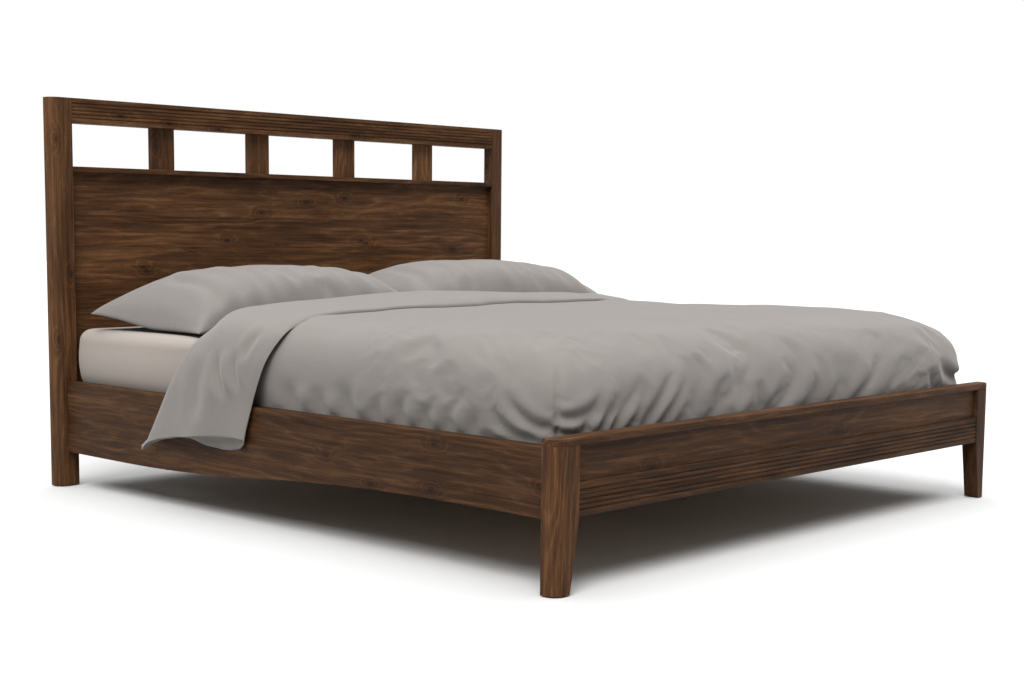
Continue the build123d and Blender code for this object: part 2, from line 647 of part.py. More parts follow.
def leg_bolts(gap=0.0):
    """The double-ended bolts that join the centre legs to the beam."""
    half = LEG_BOLT_HALF + gap
    return [rod(LEG_BOLT_RADIUS + gap, (0, FOOT_FACE + y, BEAM_BASE - half), (0, 0, 1), 2 * half)
            for y in CENTRE_LEG_FROM_FOOT]


def centre_leg(from_foot):
    """A square leg under the centre beam."""
    half = CENTRE_LEG_SIDE / 2
    y = FOOT_FACE + from_foot
    leg = block(-half, half, y - half, y + half, GLIDE_HEIGHT, BEAM_BASE)
    leg = fillet(leg.edges().filter_by(Axis.Z), CENTRE_LEG_CORNER)
    return drill(leg, leg_bolts(BORE_GAP))


def floor_glides():
    """Round glides under the four posts and the two centre legs."""
    foot_x = HALF_WIDTH - FOOT_POST_FLOOR_WIDTH / 2 - GLIDE_INSET
    head_x = HALF_WIDTH - HEAD_POST_WIDTH / 2
    spots = [(side * foot_x, FOOT_FACE + FOOT_POST_DEPTH / 2 + GLIDE_INSET) for _, side in SIDES]
    spots += [(side * head_x, HEAD_MIDDLE) for _, side in SIDES]
    spots += [(0, FOOT_FACE + y) for y in CENTRE_LEG_FROM_FOOT]
    return [rod(GLIDE_RADIUS, (x, y, 0), (0, 0, 1), GLIDE_HEIGHT) for x, y in spots]


# ---- mattress and bedding -----------------------------------------------------------------
def mattress():
    """The mattress, with rounded corners and edges."""
    half = MATTRESS_WIDTH / 2
    body = block(-half, half, MATTRESS_FOOT, MATTRESS_HEAD, MATTRESS_BASE, MATTRESS_TOP)
    body = fillet(body.edges().filter_by(Axis.Z), MATTRESS_CORNER)
    return fillet(body.edges().group_by(Axis.Z)[-1], MATTRESS_EDGE)


def pillow(side):
    """A plump pillow on the mattress, against the headboard."""
    base = MATTRESS_TOP + SOFT_GAP
    inner = PILLOW_MIDDLE_GAP
    head = MATTRESS_HEAD - PILLOW_BED_GAP
    body = block(side * inner, side * (inner + PILLOW_WIDTH), head - PILLOW_DEPTH, head,
                 base, base + PILLOW_THICKNESS)
    body = fillet(body.edges().filter_by(Axis.Z), PILLOW_CORNER)
    return fillet(body.edges().group_by(Axis.Z)[-1], PILLOW_EDGE)


def duvet():
    """The duvet in four touching blocks: cover, turned-back end, and that end over the left rail.

    The cover reaches down beside the mattress to the rails and to the footboard.
    """
    half = MATTRESS_WIDTH / 2 + SOFT_GAP
    outer = half + DUVET_SIDE
    low = SIDE_RAIL_TOP + DUVET_RAIL_GAP
    base = MATTRESS_TOP + SOFT_GAP
    top = base + DUVET_LOFT
    head = FOOT_FACE + DUVET_HEAD_EDGE
    fold = FOOT_FACE + TURNBACK_START
    foot_inner = MATTRESS_FOOT - SOFT_GAP
    cover = block(-outer, outer, foot_inner, head, base, top)
    for side in (-1, 1):
        cover += block(side * half, side * outer, foot_inner, head, low, top)
    cover += block(-outer, outer, foot_inner - DUVET_FOOT, foot_inner, low, top)
    cover = fillet(cover.edges().group_by(Axis.Z)[-1], DUVET_EDGE)
    turned_back = block(-outer, outer, fold, head, top, top + TURNBACK_LOFT)
    drape_head = FOOT_FACE + DRAPE_END
    clear = -(RAIL_OUTSIDE + SOFT_GAP)
    over_rail = block(-outer, clear, fold, drape_head, low, top)
    hanging = block(clear, clear - DRAPE_THICKNESS, fold, drape_head, DRAPE_BASE, top)
    return [cover, turned_back, over_rail, hanging]


def build_all():
    """Make every piece and write each to its own file."""
    os.makedirs("parts", exist_ok=True)
    for name, side in SIDES:
        save(f"headboard_post_{name}", headboard_post(side))
        save(f"foot_post_{name}", foot_post(side))
        save(f"side_rail_{name}", side_rail(side))
        save(f"slat_ledger_{name}", ledger(side))
        save(f"pillow_{name}", pillow(side))
        for end, toward, joint in ENDS:
            save(f"rail_hook_plate_{end}_{name}", rail_plate(side, toward, joint))
            save(f"post_slot_plate_{end}_{name}", post_plate(side, toward, joint))
    save("headboard_top_rail", headboard_top_rail())
    save("headboard_mid_rail", headboard_mid_rail())
    save("headboard_bottom_rail", headboard_bottom_rail())
    save("headboard_panel", headboard_panel())
    for i, x in enumerate(mullion_centres(), 1):
        save(f"headboard_mullion_{i}", mullion(x))
    save("foot_cap_rail", foot_cap_rail())
    save("foot_reeded_rail", foot_reeded_rail())
    save("foot_panel", foot_panel())
    for i, y in enumerate(slat_centres(), 1):
        save(f"slat_{i:02d}", slat(y))
    save("centre_beam", centre_beam())
    for name, from_foot in zip(("foot", "head"), CENTRE_LEG_FROM_FOOT):
        save(f"centre_leg_{name}", centre_leg(from_foot))
    save("beam_hanger_head", beam_hanger(1, HEAD_RAIL_FACE))
    save("beam_hanger_foot", beam_hanger(-1, FOOT_RAIL_BACK))
    save("headboard_dowels", head_dowels())
    save("footboard_dowels", foot_dowels())
    save("plate_screws", [s for _, side in SIDES for _, to, at in ENDS for s in plate_screws(side, to, at)])
    save("ledger_screws", [s for _, side in SIDES for s in ledger_screws(side)])
    save("slat_screws", slat_screws())
    save("hanger_screws", hanger_screws(1, HEAD_RAIL_FACE) + hanger_screws(-1, FOOT_RAIL_BACK))
    save("centre_leg_bolts", leg_bolts())
    save("floor_glides", floor_glides())
    save("mattress", mattress())
    save("duvet", duvet())


build_all()
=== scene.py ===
"""Looks for a wooden bed with a panelled headboard, a low footboard and its bedding.

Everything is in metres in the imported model's frame: +X across the bed, +Y towards the
headboard, +Z up, with the floor at zero.
"""
import logging
import math
from dataclasses import dataclass, field
from enum import Enum

import bpy
import numpy as np
from mathutils import Matrix, Vector


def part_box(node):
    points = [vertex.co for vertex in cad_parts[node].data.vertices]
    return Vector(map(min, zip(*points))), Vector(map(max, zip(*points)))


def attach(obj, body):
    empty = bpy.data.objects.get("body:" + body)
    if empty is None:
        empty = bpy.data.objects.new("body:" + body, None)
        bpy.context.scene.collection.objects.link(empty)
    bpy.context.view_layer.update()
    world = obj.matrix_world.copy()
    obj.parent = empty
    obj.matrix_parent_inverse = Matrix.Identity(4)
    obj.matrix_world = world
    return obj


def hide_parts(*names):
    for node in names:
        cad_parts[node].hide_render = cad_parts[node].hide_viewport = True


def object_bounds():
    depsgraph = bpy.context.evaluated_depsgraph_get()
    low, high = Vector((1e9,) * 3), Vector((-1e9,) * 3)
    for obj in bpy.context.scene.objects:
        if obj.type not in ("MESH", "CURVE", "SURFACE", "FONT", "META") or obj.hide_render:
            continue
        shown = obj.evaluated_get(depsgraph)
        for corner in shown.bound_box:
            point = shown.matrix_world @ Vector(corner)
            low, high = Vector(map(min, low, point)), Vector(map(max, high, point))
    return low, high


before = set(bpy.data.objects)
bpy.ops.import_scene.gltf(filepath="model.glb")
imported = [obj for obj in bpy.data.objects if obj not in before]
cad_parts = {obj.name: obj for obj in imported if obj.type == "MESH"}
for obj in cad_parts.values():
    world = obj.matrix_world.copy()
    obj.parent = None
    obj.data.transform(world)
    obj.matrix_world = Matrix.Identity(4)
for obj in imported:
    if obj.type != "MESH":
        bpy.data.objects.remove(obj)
CAD_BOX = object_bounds()
LOG = logging.getLogger("bed")
Array = np.ndarray
# Metres: FAR_OFF lies beyond any place on the bed, and a plank of WHOLE_BOARD is wider than any board.
FAR_OFF = 9.0
WHOLE_BOARD = 10.0
TINY = 1e-9
# Counts: points of a side's outline, samples between a curve's points, and steps of a held cloth.
PROFILE_POINTS = 120
SPLINE_SAMPLES = 40
HOLD_LEVELS = 8


class Grain(Enum):
    """Which way a board's fibres run."""

    ACROSS = "x"
    ALONG = "y"
    UPRIGHT = "z"


# ---- small numpy helpers --------------------------------------------------------------------
def smooth(low: float, high: float, value: Array) -> Array:
    """Ease from 0 at `low` to 1 at `high`.

    Args:
        low: where the ease starts.
        high: where it ends.
        value: the places to read.

    Returns:
        3t^2 - 2t^3 of the clipped share t of the way from low to high.
    """
    share = np.clip((value - low) / (high - low), 0.0, 1.0)
    return share * share * (3.0 - 2.0 * share)


def bump(value: Array, centre: float, width: float) -> Array:
    """A Gaussian hill of height 1 at `centre`, `width` being its standard deviation."""
    return np.exp(-0.5 * ((value - centre) / width) ** 2)


# ---- node helpers ---------------------------------------------------------------------------
class Shader:
    """A node tree with short calls to add and join nodes."""

    def __init__(self, tree: bpy.types.NodeTree) -> None:
        """Keep the tree and clear it."""
        self.tree = tree
        tree.nodes.clear()

    def add(self, kind: str, **values: object) -> bpy.types.Node:
        """Add a node.

        Args:
            kind: the node's type, without its ShaderNode prefix.
            values: properties of the node by name; names that start with "in_" set sockets by number.

        Returns:
            The new node.
        """
        node = self.tree.nodes.new(f"ShaderNode{kind}")
        for name, value in values.items():
            if name.startswith("in_"):
                node.inputs[int(name[3:])].default_value = value
            else:
                setattr(node, name, value)
        return node

    def join(self, source: bpy.types.NodeSocket, target: bpy.types.NodeSocket) -> None:
        """Link an output to an input."""
        self.tree.links.new(source, target)

    def math(self, operation: str, first: object, second: object = 0.0) -> bpy.types.NodeSocket:
        """A Math node on two numbers or sockets.

        Args:
            operation: the Math node's operation.
            first: a number or an output socket.
            second: a number or an output socket.

        Returns:
            The node's output socket.
        """
        node = self.add("Math", operation=operation)
        for slot, value in enumerate((first, second)):
            if isinstance(value, bpy.types.NodeSocket):
                self.join(value, node.inputs[slot])
            else:
                node.inputs[slot].default_value = value
        return node.outputs[0]

    def weigh(self, *terms: tuple[bpy.types.NodeSocket, float]) -> bpy.types.NodeSocket:
        """The sum of several values, each times its own weight.

        Args:
            terms: pairs of a value and its weight.

        Returns:
            The sum's output socket.
        """
        total = None
        for value, weight in terms:
            part = self.math("MULTIPLY", value, weight)
            total = part if total is None else self.math("ADD", total, part)
        return total

    def stretch(self, vector: bpy.types.NodeSocket,
                scale: tuple[float, float, float]) -> bpy.types.NodeSocket:
        """Scale a vector along each axis with a Mapping node.

        Args:
            vector: the vector's socket.
            scale: a factor for each axis.

        Returns:
            The scaled vector's socket.
        """
        node = self.add("Mapping", vector_type="POINT")
        node.inputs["Scale"].default_value = scale
        self.join(vector, node.inputs["Vector"])
        return node.outputs[0]

    def noise(self, vector: bpy.types.NodeSocket, scale: float, detail: float = 3.0, rough: float = 0.5,
              warp: float = 0.0) -> bpy.types.NodeSocket:
        """A noise texture's value at a vector.

        Args:
            vector: where to read it.
            scale: cells per metre.
            detail: how many finer layers are added.
            rough: how strong the finer layers are.
            warp: how much the pattern is bent by itself.

        Returns:
            The value's socket.
        """
        node = self.add("TexNoise")
        node.inputs["Scale"].default_value = scale
        node.inputs["Detail"].default_value = detail
        node.inputs["Roughness"].default_value = rough
        node.inputs["Distortion"].default_value = warp
        self.join(vector, node.inputs["Vector"])
        return node.outputs["Fac"]

    def remap(self, value: bpy.types.NodeSocket, low: float, high: float, to_low: float = 0.0,
              to_high: float = 1.0) -> bpy.types.NodeSocket:
        """A clamped linear Map Range of a value.

        Args:
            value: the value's socket.
            low: what is mapped to `to_low`.
            high: what is mapped to `to_high`.
            to_low: the first end of the result.
            to_high: the other end of the result.

        Returns:
            The result's socket.
        """
        node = self.add("MapRange")
        self.join(value, node.inputs["Value"])
        for name, number in (("From Min", low), ("From Max", high), ("To Min", to_low), ("To Max", to_high)):
            node.inputs[name].default_value = number
        return node.outputs["Result"]

    def mix(self, factor: object, first: object, second: object, blend: str = "MIX") -> bpy.types.NodeSocket:
        """Mix two colours.

        Args:
            factor: a number or a socket.
            first: an (r, g, b) colour or a socket.
            second: an (r, g, b) colour or a socket.
            blend: the blend type.

        Returns:
            The mixed colour's socket.
        """
        node = self.add("Mix", data_type="RGBA", blend_type=blend)
        for slot, value in ((0, factor), (6, first), (7, second)):
            if isinstance(value, bpy.types.NodeSocket):
                self.join(value, node.inputs[slot])
            elif slot == 0:
                node.inputs[slot].default_value = value
            else:
                node.inputs[slot].default_value = (*value, 1.0)
        return node.outputs[2]


def new_group(name: str, ins: dict[str, object], outs: dict[str, str]) -> tuple[bpy.types.NodeTree, Shader]:
    """Start a shader node group with named sockets.

    Args:
        name: the group's name.
        ins: input names with their default value: a number, a colour of three numbers, or None for a vector.
        outs: output names with their socket type.

    Returns:
        The group and a Shader on it, with its Group Input and Group Output already added.
    """
    tree = bpy.data.node_groups.new(name, "ShaderNodeTree")
    for label, value in ins.items():
        if value is None:
            tree.interface.new_socket(label, in_out="INPUT", socket_type="NodeSocketVector")
        elif isinstance(value, tuple):
            socket = tree.interface.new_socket(label, in_out="INPUT", socket_type="NodeSocketColor")
            socket.default_value = (*value, 1.0)
        else:
            socket = tree.interface.new_socket(label, in_out="INPUT", socket_type="NodeSocketFloat")
            socket.default_value = value
    for label, kind in outs.items():
        tree.interface.new_socket(label, in_out="OUTPUT", socket_type=kind)
    shader = Shader(tree)
    tree.nodes.new("NodeGroupInput").name = "in"
    tree.nodes.new("NodeGroupOutput").name = "out"
    return tree, shader


# The wood's figure. Each board's offset moves it along CUT_SHIFT, and each plank in a board is cut
# PLANK_SHIFT metres further into it than the one below. A face
# has KNOT_CELLS cells a metre along and across the fibres, and a cell that draws more than KNOT_DRAW
# holds a knot, whose pull on the lines reaches KNOT_PULL of a cell. The slants carry the figure through
# the board's thickness, and the shades are how much darker pores and knots are than the wood round them.
CUT_SHIFT = (1.0, 0.37, 0.73)
PLANK_SHIFT = (3.71, 0.53)
KNOT_CELLS = (5.2, 10.5)
KNOT_SLANT = 0.9
KNOT_DRAW = 0.72
KNOT_PULL = 0.34
KNOT_RAGGED = 0.08
KNOT_EDGE = (0.115, 0.05)
KNOT_COLOUR = (0.010, 0.006, 0.004)
GROWTH_SLANT = 0.8
GROWTH_LINES = 34.0
GROWTH_WARP = 11.0
GROWTH_POWER = 2.2
FIGURE_RANGE = (0.70, 1.10)
PORE_RANGE = (0.60, 0.70)
PORE_SHADE = 0.40
KNOT_SHADE = 0.80


def wood_group() -> bpy.types.NodeTree:
    """The figure of a stained board whose fibres run along X of the vector it is given.

    Returns:
        A group: glued-up planks of slightly different tone, growth lines, long fine streaks, short dark
        pores and small knots that the lines bend around.
    """
    tree, s = new_group(
        "WoodFigure",
        {"Vector": None, "Dark": (0.03, 0.015, 0.008), "Middle": (0.08, 0.04, 0.02),
         "Light": (0.13, 0.07, 0.035), "Knots": 1.0, "Plank": WHOLE_BOARD},
        {"Color": "NodeSocketColor", "Roughness": "NodeSocketFloat", "Height": "NodeSocketFloat"},
    )
    group_in, group_out = tree.nodes["in"], tree.nodes["out"]
    whole = s.add("SeparateXYZ")
    s.join(group_in.outputs["Vector"], whole.inputs[0])
    along, thick, up = whole.outputs
    number = s.math("FLOOR", s.math("DIVIDE", up, group_in.outputs["Plank"]))
    draw = s.add("TexWhiteNoise", noise_dimensions="1D")
    s.join(number, draw.inputs["W"])
    moved = s.math("ADD", along, s.math("MULTIPLY", number, PLANK_SHIFT[0]))
    shift = s.add("CombineXYZ")
    s.join(moved, shift.inputs[0])
    s.join(s.math("ADD", thick, s.math("MULTIPLY", number, PLANK_SHIFT[1])), shift.inputs[1])
    s.join(up, shift.inputs[2])
    place = shift.outputs[0]

    face = s.add("CombineXYZ")
    across_face = s.math("ADD", up, s.math("MULTIPLY", thick, KNOT_SLANT))
    s.join(s.math("MULTIPLY", moved, KNOT_CELLS[0]), face.inputs[0])
    s.join(s.math("MULTIPLY", across_face, KNOT_CELLS[1]), face.inputs[1])
    cells = s.add("TexVoronoi", feature="F1", voronoi_dimensions="2D")
    cells.inputs["Scale"].default_value = 1.0
    s.join(face.outputs[0], cells.inputs["Vector"])
    pick = s.add("SeparateColor")
    s.join(cells.outputs["Color"], pick.inputs[0])
    drawn = s.math("GREATER_THAN", pick.outputs[0], KNOT_DRAW)
    chosen = s.math("MULTIPLY", drawn, group_in.outputs["Knots"])
    near = s.remap(cells.outputs["Distance"], KNOT_PULL, 0.0)
    pull = s.math("MULTIPLY", s.math("MULTIPLY", near, near), chosen)
    ragged = s.noise(s.stretch(place, (40.0, 90.0, 90.0)), 1.0, 3.0, 0.6)
    distance = s.math("ADD", cells.outputs["Distance"], s.math("MULTIPLY", ragged, KNOT_RAGGED))
    knot = s.math("MULTIPLY", s.remap(distance, *KNOT_EDGE), chosen)

    slow = s.noise(s.stretch(place, (1.1, 7.0, 7.0)), 1.0, 2.0, 0.5)
    medium = s.noise(s.stretch(place, (5.0, 34.0, 34.0)), 1.0, 4.0, 0.6)
    warp = s.weigh((slow, 0.9), (medium, 0.22), (pull, 0.30))
    across = s.math("ADD", up, s.math("MULTIPLY", thick, GROWTH_SLANT))
    phase = s.weigh((across, GROWTH_LINES), (warp, GROWTH_WARP))
    lines = s.math("ABSOLUTE", s.math("SUBTRACT", s.math("MULTIPLY", s.math("FRACT", phase), 2.0), 1.0))
    lines = s.math("POWER", lines, GROWTH_POWER)

    fibre = s.noise(s.stretch(place, (9.0, 420.0, 420.0)), 1.0, 4.0, 0.7)
    streak = s.noise(s.stretch(place, (2.6, 95.0, 95.0)), 1.0, 5.0, 0.72)
    cloudy = s.noise(s.stretch(place, (2.2, 12.0, 12.0)), 1.0, 3.0, 0.6)
    pores = s.remap(s.noise(s.stretch(place, (60.0, 1000.0, 1000.0)), 1.0, 1.0, 0.4), *PORE_RANGE)

    body = s.weigh((lines, 0.13), (fibre, 0.34), (streak, 0.72), (cloudy, 0.50),
                   (draw.outputs["Value"], 0.13), (pull, -0.16))
    body = s.remap(body, *FIGURE_RANGE)
    ramp = s.mix(s.remap(body, 0.0, 0.5), group_in.outputs["Dark"], group_in.outputs["Middle"])
    ramp = s.mix(s.remap(body, 0.5, 1.0), ramp, group_in.outputs["Light"])
    ramp = s.mix(s.math("MULTIPLY", pores, PORE_SHADE), ramp, group_in.outputs["Dark"], "MULTIPLY")
    ramp = s.mix(s.math("MULTIPLY", knot, KNOT_SHADE), ramp, KNOT_COLOUR)
    s.join(ramp, group_out.inputs["Color"])
    rough = s.math("ADD", s.remap(fibre, 0.3, 0.7, 0.0, 0.10), s.math("MULTIPLY", pores, 0.12))
    s.join(rough, group_out.inputs["Roughness"])
    s.join(s.weigh((fibre, 0.5), (pores, -0.6), (knot, -0.4)), group_out.inputs["Height"])
    return tree


def weave_group() -> bpy.types.NodeTree:
    """A fine plain weave with thicker threads here and there.

    Returns:
        A group that gives the weave's height and a tone mask, from a vector in metres along the cloth.
    """
    tree, s = new_group(
        "PlainWeave",
        {"Vector": None, "Threads": 900.0},
        {"Height": "NodeSocketFloat", "Tone": "NodeSocketFloat"},
    )
    group_in, group_out = tree.nodes["in"], tree.nodes["out"]
    place = group_in.outputs["Vector"]
    split = s.add("SeparateXYZ")
    s.join(place, split.inputs[0])
    count = s.math("MULTIPLY", group_in.outputs["Threads"], 2.0 * math.pi)
    warp = s.math("SINE", s.math("MULTIPLY", split.outputs[0], count))
    weft = s.math("SINE", s.math("MULTIPLY", split.outputs[1], count))
    woven = s.math("MULTIPLY", warp, weft)
    slub = s.noise(s.stretch(place, (240.0, 14.0, 14.0)), 1.0, 2.0, 0.5)
    slub_weft = s.noise(s.stretch(place, (14.0, 240.0, 14.0)), 1.0, 2.0, 0.5)
    threads = s.math("ADD", slub, slub_weft)
    s.join(s.math("ADD", s.math("MULTIPLY", woven, 0.35), threads), group_out.inputs["Height"])
    s.join(s.remap(threads, 0.75, 1.25), group_out.inputs["Tone"])
    return tree


GROUPS = {"wood": wood_group(), "weave": weave_group()}


def new_material(name: str) -> tuple[bpy.types.Material, Shader, bpy.types.Node]:
    """A material with a Principled BSDF joined to its output.

    Args:
        name: the material's name.

    Returns:
        The material, a Shader on its tree and the Principled node.
    """
    material = bpy.data.materials.new(name)
    material.use_nodes = True
    s = Shader(material.node_tree)
    surface = s.add("BsdfPrincipled")
    output = s.add("OutputMaterial")
    s.join(surface.outputs[0], output.inputs[0])
    return material, s, surface


# ---- finishes -------------------------------------------------------------------------------
@dataclass(frozen=True)
class WoodFinish:
    """A board's stain, lacquer and figure."""

    name: str
    dark: tuple[float, float, float]
    middle: tuple[float, float, float]
    light: tuple[float, float, float]
    roughness: float
    coat: float
    knots: float
    relief: float
    pore_depth: float = 0.0006
    specular: float = 0.08
    coat_roughness: float = 0.32

    def material(self, piece: str, grain: Grain, offset: float, plank: float = WHOLE_BOARD,
                 tone: float = 1.0) -> bpy.types.Material:
        """The finish on one board.

        Args:
            piece: the board's name.
            grain: which way its fibres run.
            offset: how far into the figure the board was cut, so no two boards match.
            plank: how wide the planks are that the board is glued up from.
            tone: how light the board is made beside the others; painted light and shade, making boards that
                sit in shade lighter and side-lit boards darker.

        Returns:
            A material on Object coordinates, turned so that X runs with the fibres.
        """
        material, s, surface = new_material(f"{self.name}_{piece}")
        place = s.add("TexCoord").outputs["Object"]
        turn = s.add("Mapping", vector_type="POINT")
        turns = {Grain.ACROSS: (0.0, 0.0, 0.0), Grain.ALONG: (0.0, 0.0, math.pi / 2),
                 Grain.UPRIGHT: (0.0, math.pi / 2, 0.0)}
        turn.inputs["Rotation"].default_value = turns[grain]
        turn.inputs["Location"].default_value = tuple(offset * part for part in CUT_SHIFT)
        s.join(place, turn.inputs["Vector"])
        figure = s.add("Group", node_tree=GROUPS["wood"])
        s.join(turn.outputs[0], figure.inputs["Vector"])
        for label, colour in (("Dark", self.dark), ("Middle", self.middle), ("Light", self.light)):
            figure.inputs[label].default_value = (*(tone * c for c in colour), 1.0)
        figure.inputs["Knots"].default_value = self.knots
        figure.inputs["Plank"].default_value = plank
        s.join(figure.outputs["Color"], surface.inputs["Base Color"])
        s.join(s.math("ADD", figure.outputs["Roughness"], self.roughness), surface.inputs["Roughness"])
        relief = s.add("Bump")
        relief.inputs["Strength"].default_value = self.relief
        relief.inputs["Distance"].default_value = self.pore_depth
        s.join(figure.outputs["Height"], relief.inputs["Height"])
        s.join(relief.outputs[0], surface.inputs["Normal"])
        surface.inputs["Specular IOR Level"].default_value = self.specular
        surface.inputs["Coat Weight"].default_value = self.coat
        surface.inputs["Coat Roughness"].default_value = self.coat_roughness
        return material


@dataclass(frozen=True)
class ClothFinish:
    """A woven cotton cover."""

    name: str
    colour: tuple[float, float, float]
    shade: tuple[float, float, float]
    threads: float
    weave: float
    sheen: float
    thread_height: float = 0.0004
    roughness: float = 0.92
    specular: float = 0.18
    sheen_roughness: float = 0.5
    patches: float = 0.65

    def material(self) -> bpy.types.Material:
        """The cloth on the piece's own flat coordinates.

        Returns:
            A material: weave and slubs in height and tone, with soft patches of wear.
        """
        material, s, surface = new_material(self.name)
        place = s.add("UVMap", uv_map="cloth").outputs[0]
        weave = s.add("Group", node_tree=GROUPS["weave"])
        weave.inputs["Threads"].default_value = self.threads
        s.join(place, weave.inputs["Vector"])
        worn = s.noise(place, 3.0, 3.0, 0.5)
        tone = s.weigh((weave.outputs["Tone"], 1.0 - self.patches), (worn, self.patches))
        s.join(s.mix(s.remap(tone, 0.25, 0.8), self.shade, self.colour), surface.inputs["Base Color"])
        relief = s.add("Bump")
        relief.inputs["Strength"].default_value = self.weave
        relief.inputs["Distance"].default_value = self.thread_height
        s.join(weave.outputs["Height"], relief.inputs["Height"])
        s.join(relief.outputs[0], surface.inputs["Normal"])
        surface.inputs["Roughness"].default_value = self.roughness
        surface.inputs["Specular IOR Level"].default_value = self.specular
        surface.inputs["Sheen Weight"].default_value = self.sheen
        surface.inputs["Sheen Roughness"].default_value = self.sheen_roughness
        return material


@dataclass(frozen=True)
class MetalFinish:
    """A plated steel part."""

    name: str
    colour: tuple[float, float, float]
    roughness: float
    dulling: float = 0.72

    def material(self) -> bpy.types.Material:
        """The plating on Object coordinates.

        Returns:
            A material whose spangle shows a little in its tone and its roughness.
        """
        material, s, surface = new_material(self.name)
        place = s.add("TexCoord").outputs["Object"]
        spangle = s.noise(place, 160.0, 3.0, 0.6)
        dull = tuple(self.dulling * c for c in self.colour)
        s.join(s.mix(s.remap(spangle, 0.35, 0.65), dull, self.colour), surface.inputs["Base Color"])
        rough = s.remap(spangle, 0.3, 0.7, self.roughness - 0.08, self.roughness + 0.1)
        s.join(rough, surface.inputs["Roughness"])
        surface.inputs["Metallic"].default_value = 1.0
        return material


@dataclass(frozen=True)
class PlasticFinish:
    """A moulded plastic part."""

    name: str
    colour: tuple[float, float, float]
    scuffing: float = 2.2

    def material(self) -> bpy.types.Material:
        """The moulding on Object coordinates.

        Returns:
            A material with paler scuffs and a finely speckled roughness.
        """
        material, s, surface = new_material(self.name)
        place = s.add("TexCoord").outputs["Object"]
        speckle = s.noise(place, 900.0, 2.0, 0.5)
        scuffs = s.noise(place, 60.0, 3.0, 0.6)
        worn = tuple(self.scuffing * c for c in self.colour)
        s.join(s.mix(s.remap(scuffs, 0.5, 0.75), self.colour, worn), surface.inputs["Base Color"])
        s.join(s.remap(speckle, 0.3, 0.7, 0.45, 0.62), surface.inputs["Roughness"])
        return material


WALNUT = WoodFinish("walnut", dark=(0.0155, 0.0066, 0.0026), middle=(0.038, 0.0166, 0.0064),
                    light=(0.074, 0.0345, 0.0142), roughness=0.50, coat=0.04, knots=1.0, relief=0.35)
PINE = WoodFinish("pine", dark=(0.38, 0.23, 0.115), middle=(0.56, 0.38, 0.21), light=(0.66, 0.49, 0.30),
                  roughness=0.55, coat=0.0, knots=0.7, relief=0.25)
ZINC = MetalFinish("zinc_plate", (0.62, 0.63, 0.65), 0.36)
SCREW_STEEL = MetalFinish("yellow_zinc", (0.66, 0.55, 0.30), 0.34)
NYLON = PlasticFinish("glide_nylon", (0.028, 0.028, 0.03))
DUVET_CLOTH = ClothFinish("duvet_cotton", colour=(0.131, 0.1195, 0.1100), shade=(0.120, 0.1095, 0.1010),
                          threads=900.0, weave=0.10, sheen=0.15)
PILLOW_CLOTH = ClothFinish("pillow_cotton", colour=(0.128, 0.1175, 0.1085), shade=(0.118, 0.1085, 0.1000),
                           threads=900.0, weave=0.10, sheen=0.15)
MATTRESS_CLOTH = ClothFinish("mattress_jersey", colour=(0.215, 0.190, 0.168), shade=(0.205, 0.181, 0.160),
                             threads=700.0, weave=0.08, sheen=0.1)


# ---- the wooden frame and its fixings -------------------------------------------------------
@dataclass
class BedFrame:
    """Headboard, footboard, rails and slatted base: the carried-over hard pieces."""

    across: tuple[str, ...] = ("headboard_top_rail", "headboard_mid_rail", "headboard_bottom_rail",
                               "headboard_panel", "foot_cap_rail", "foot_reeded_rail", "foot_panel")
    along: tuple[str, ...] = ("side_rail_left", "side_rail_right")
    upright: tuple[str, ...] = ("headboard_post_left", "headboard_post_right", "foot_post_left",
                                "foot_post_right")
    offset_step: float = 1.37
    plank: float = 0.098
    # Each board's brightness factor is painted light and shade: boards in shade, such as the mullions and
    # headboard panel, are made lighter, and the side rails, lit from the left, darker.
    light_and_shade_tones: tuple[tuple[str, float], ...] = (
        ("headboard_panel", 1.72), ("headboard_mullion", 2.00), ("headboard_mid", 1.55),
        ("headboard_top", 1.45), ("headboard_post", 1.25), ("foot_post_left", 1.45), ("side_rail", 0.90),
        ("foot_panel", 0.92), ("foot_cap", 1.10), ("foot_reeded", 1.15))

    def boards(self) -> dict[str, tuple[WoodFinish, Grain]]:
        """Sort the wooden nodes by the way their fibres run.

        Returns:
            Every wooden node's name with its finish and grain.
        """
        found = {n: (WALNUT, Grain.ACROSS) for n in self.across}
        found.update({n: (WALNUT, Grain.ALONG) for n in self.along})
        found.update({n: (WALNUT, Grain.UPRIGHT) for n in self.upright})
        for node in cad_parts:
            if node.startswith("headboard_mullion"):
                found[node] = (WALNUT, Grain.UPRIGHT)
            elif node.startswith("slat_") and "screws" not in node and "ledger" not in node:
                found[node] = (PINE, Grain.ACROSS)
            elif node.startswith("slat_ledger") or node == "centre_beam":
                found[node] = (PINE, Grain.ALONG)
            elif node.startswith("centre_leg") and "bolts" not in node:
                found[node] = (PINE, Grain.UPRIGHT)
            elif node.endswith("dowels"):
                found[node] = (PINE, Grain.ACROSS)
        return found

    def dress(self) -> list[str]:
        """Give every hard node its material.

        Returns:
            The names of the dressed nodes.
        """
        boards = self.boards()
        zinc, screw_steel, nylon = ZINC.material(), SCREW_STEEL.material(), NYLON.material()
        done = []
        for number, (node, piece) in enumerate(sorted(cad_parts.items())):
            if node in boards:
                finish, grain = boards[node]
                plank = self.plank if node == "headboard_panel" else WHOLE_BOARD
                # The board's brightness factor paints light and shade into its stain colour.
                tone = next((tone for start, tone in self.light_and_shade_tones if node.startswith(start)), 1.0)
                material = finish.material(node, grain, self.offset_step * number, plank, tone)
            elif "plate_" in node and "screws" not in node or node.startswith("beam_hanger"):
                material = zinc
            elif node.endswith("screws") or node.endswith("bolts"):
                material = screw_steel
            elif node == "floor_glides":
                material = nylon
            else:
                continue
            piece.data.materials.clear()
            piece.data.materials.append(material)
            done.append(node)
        return done


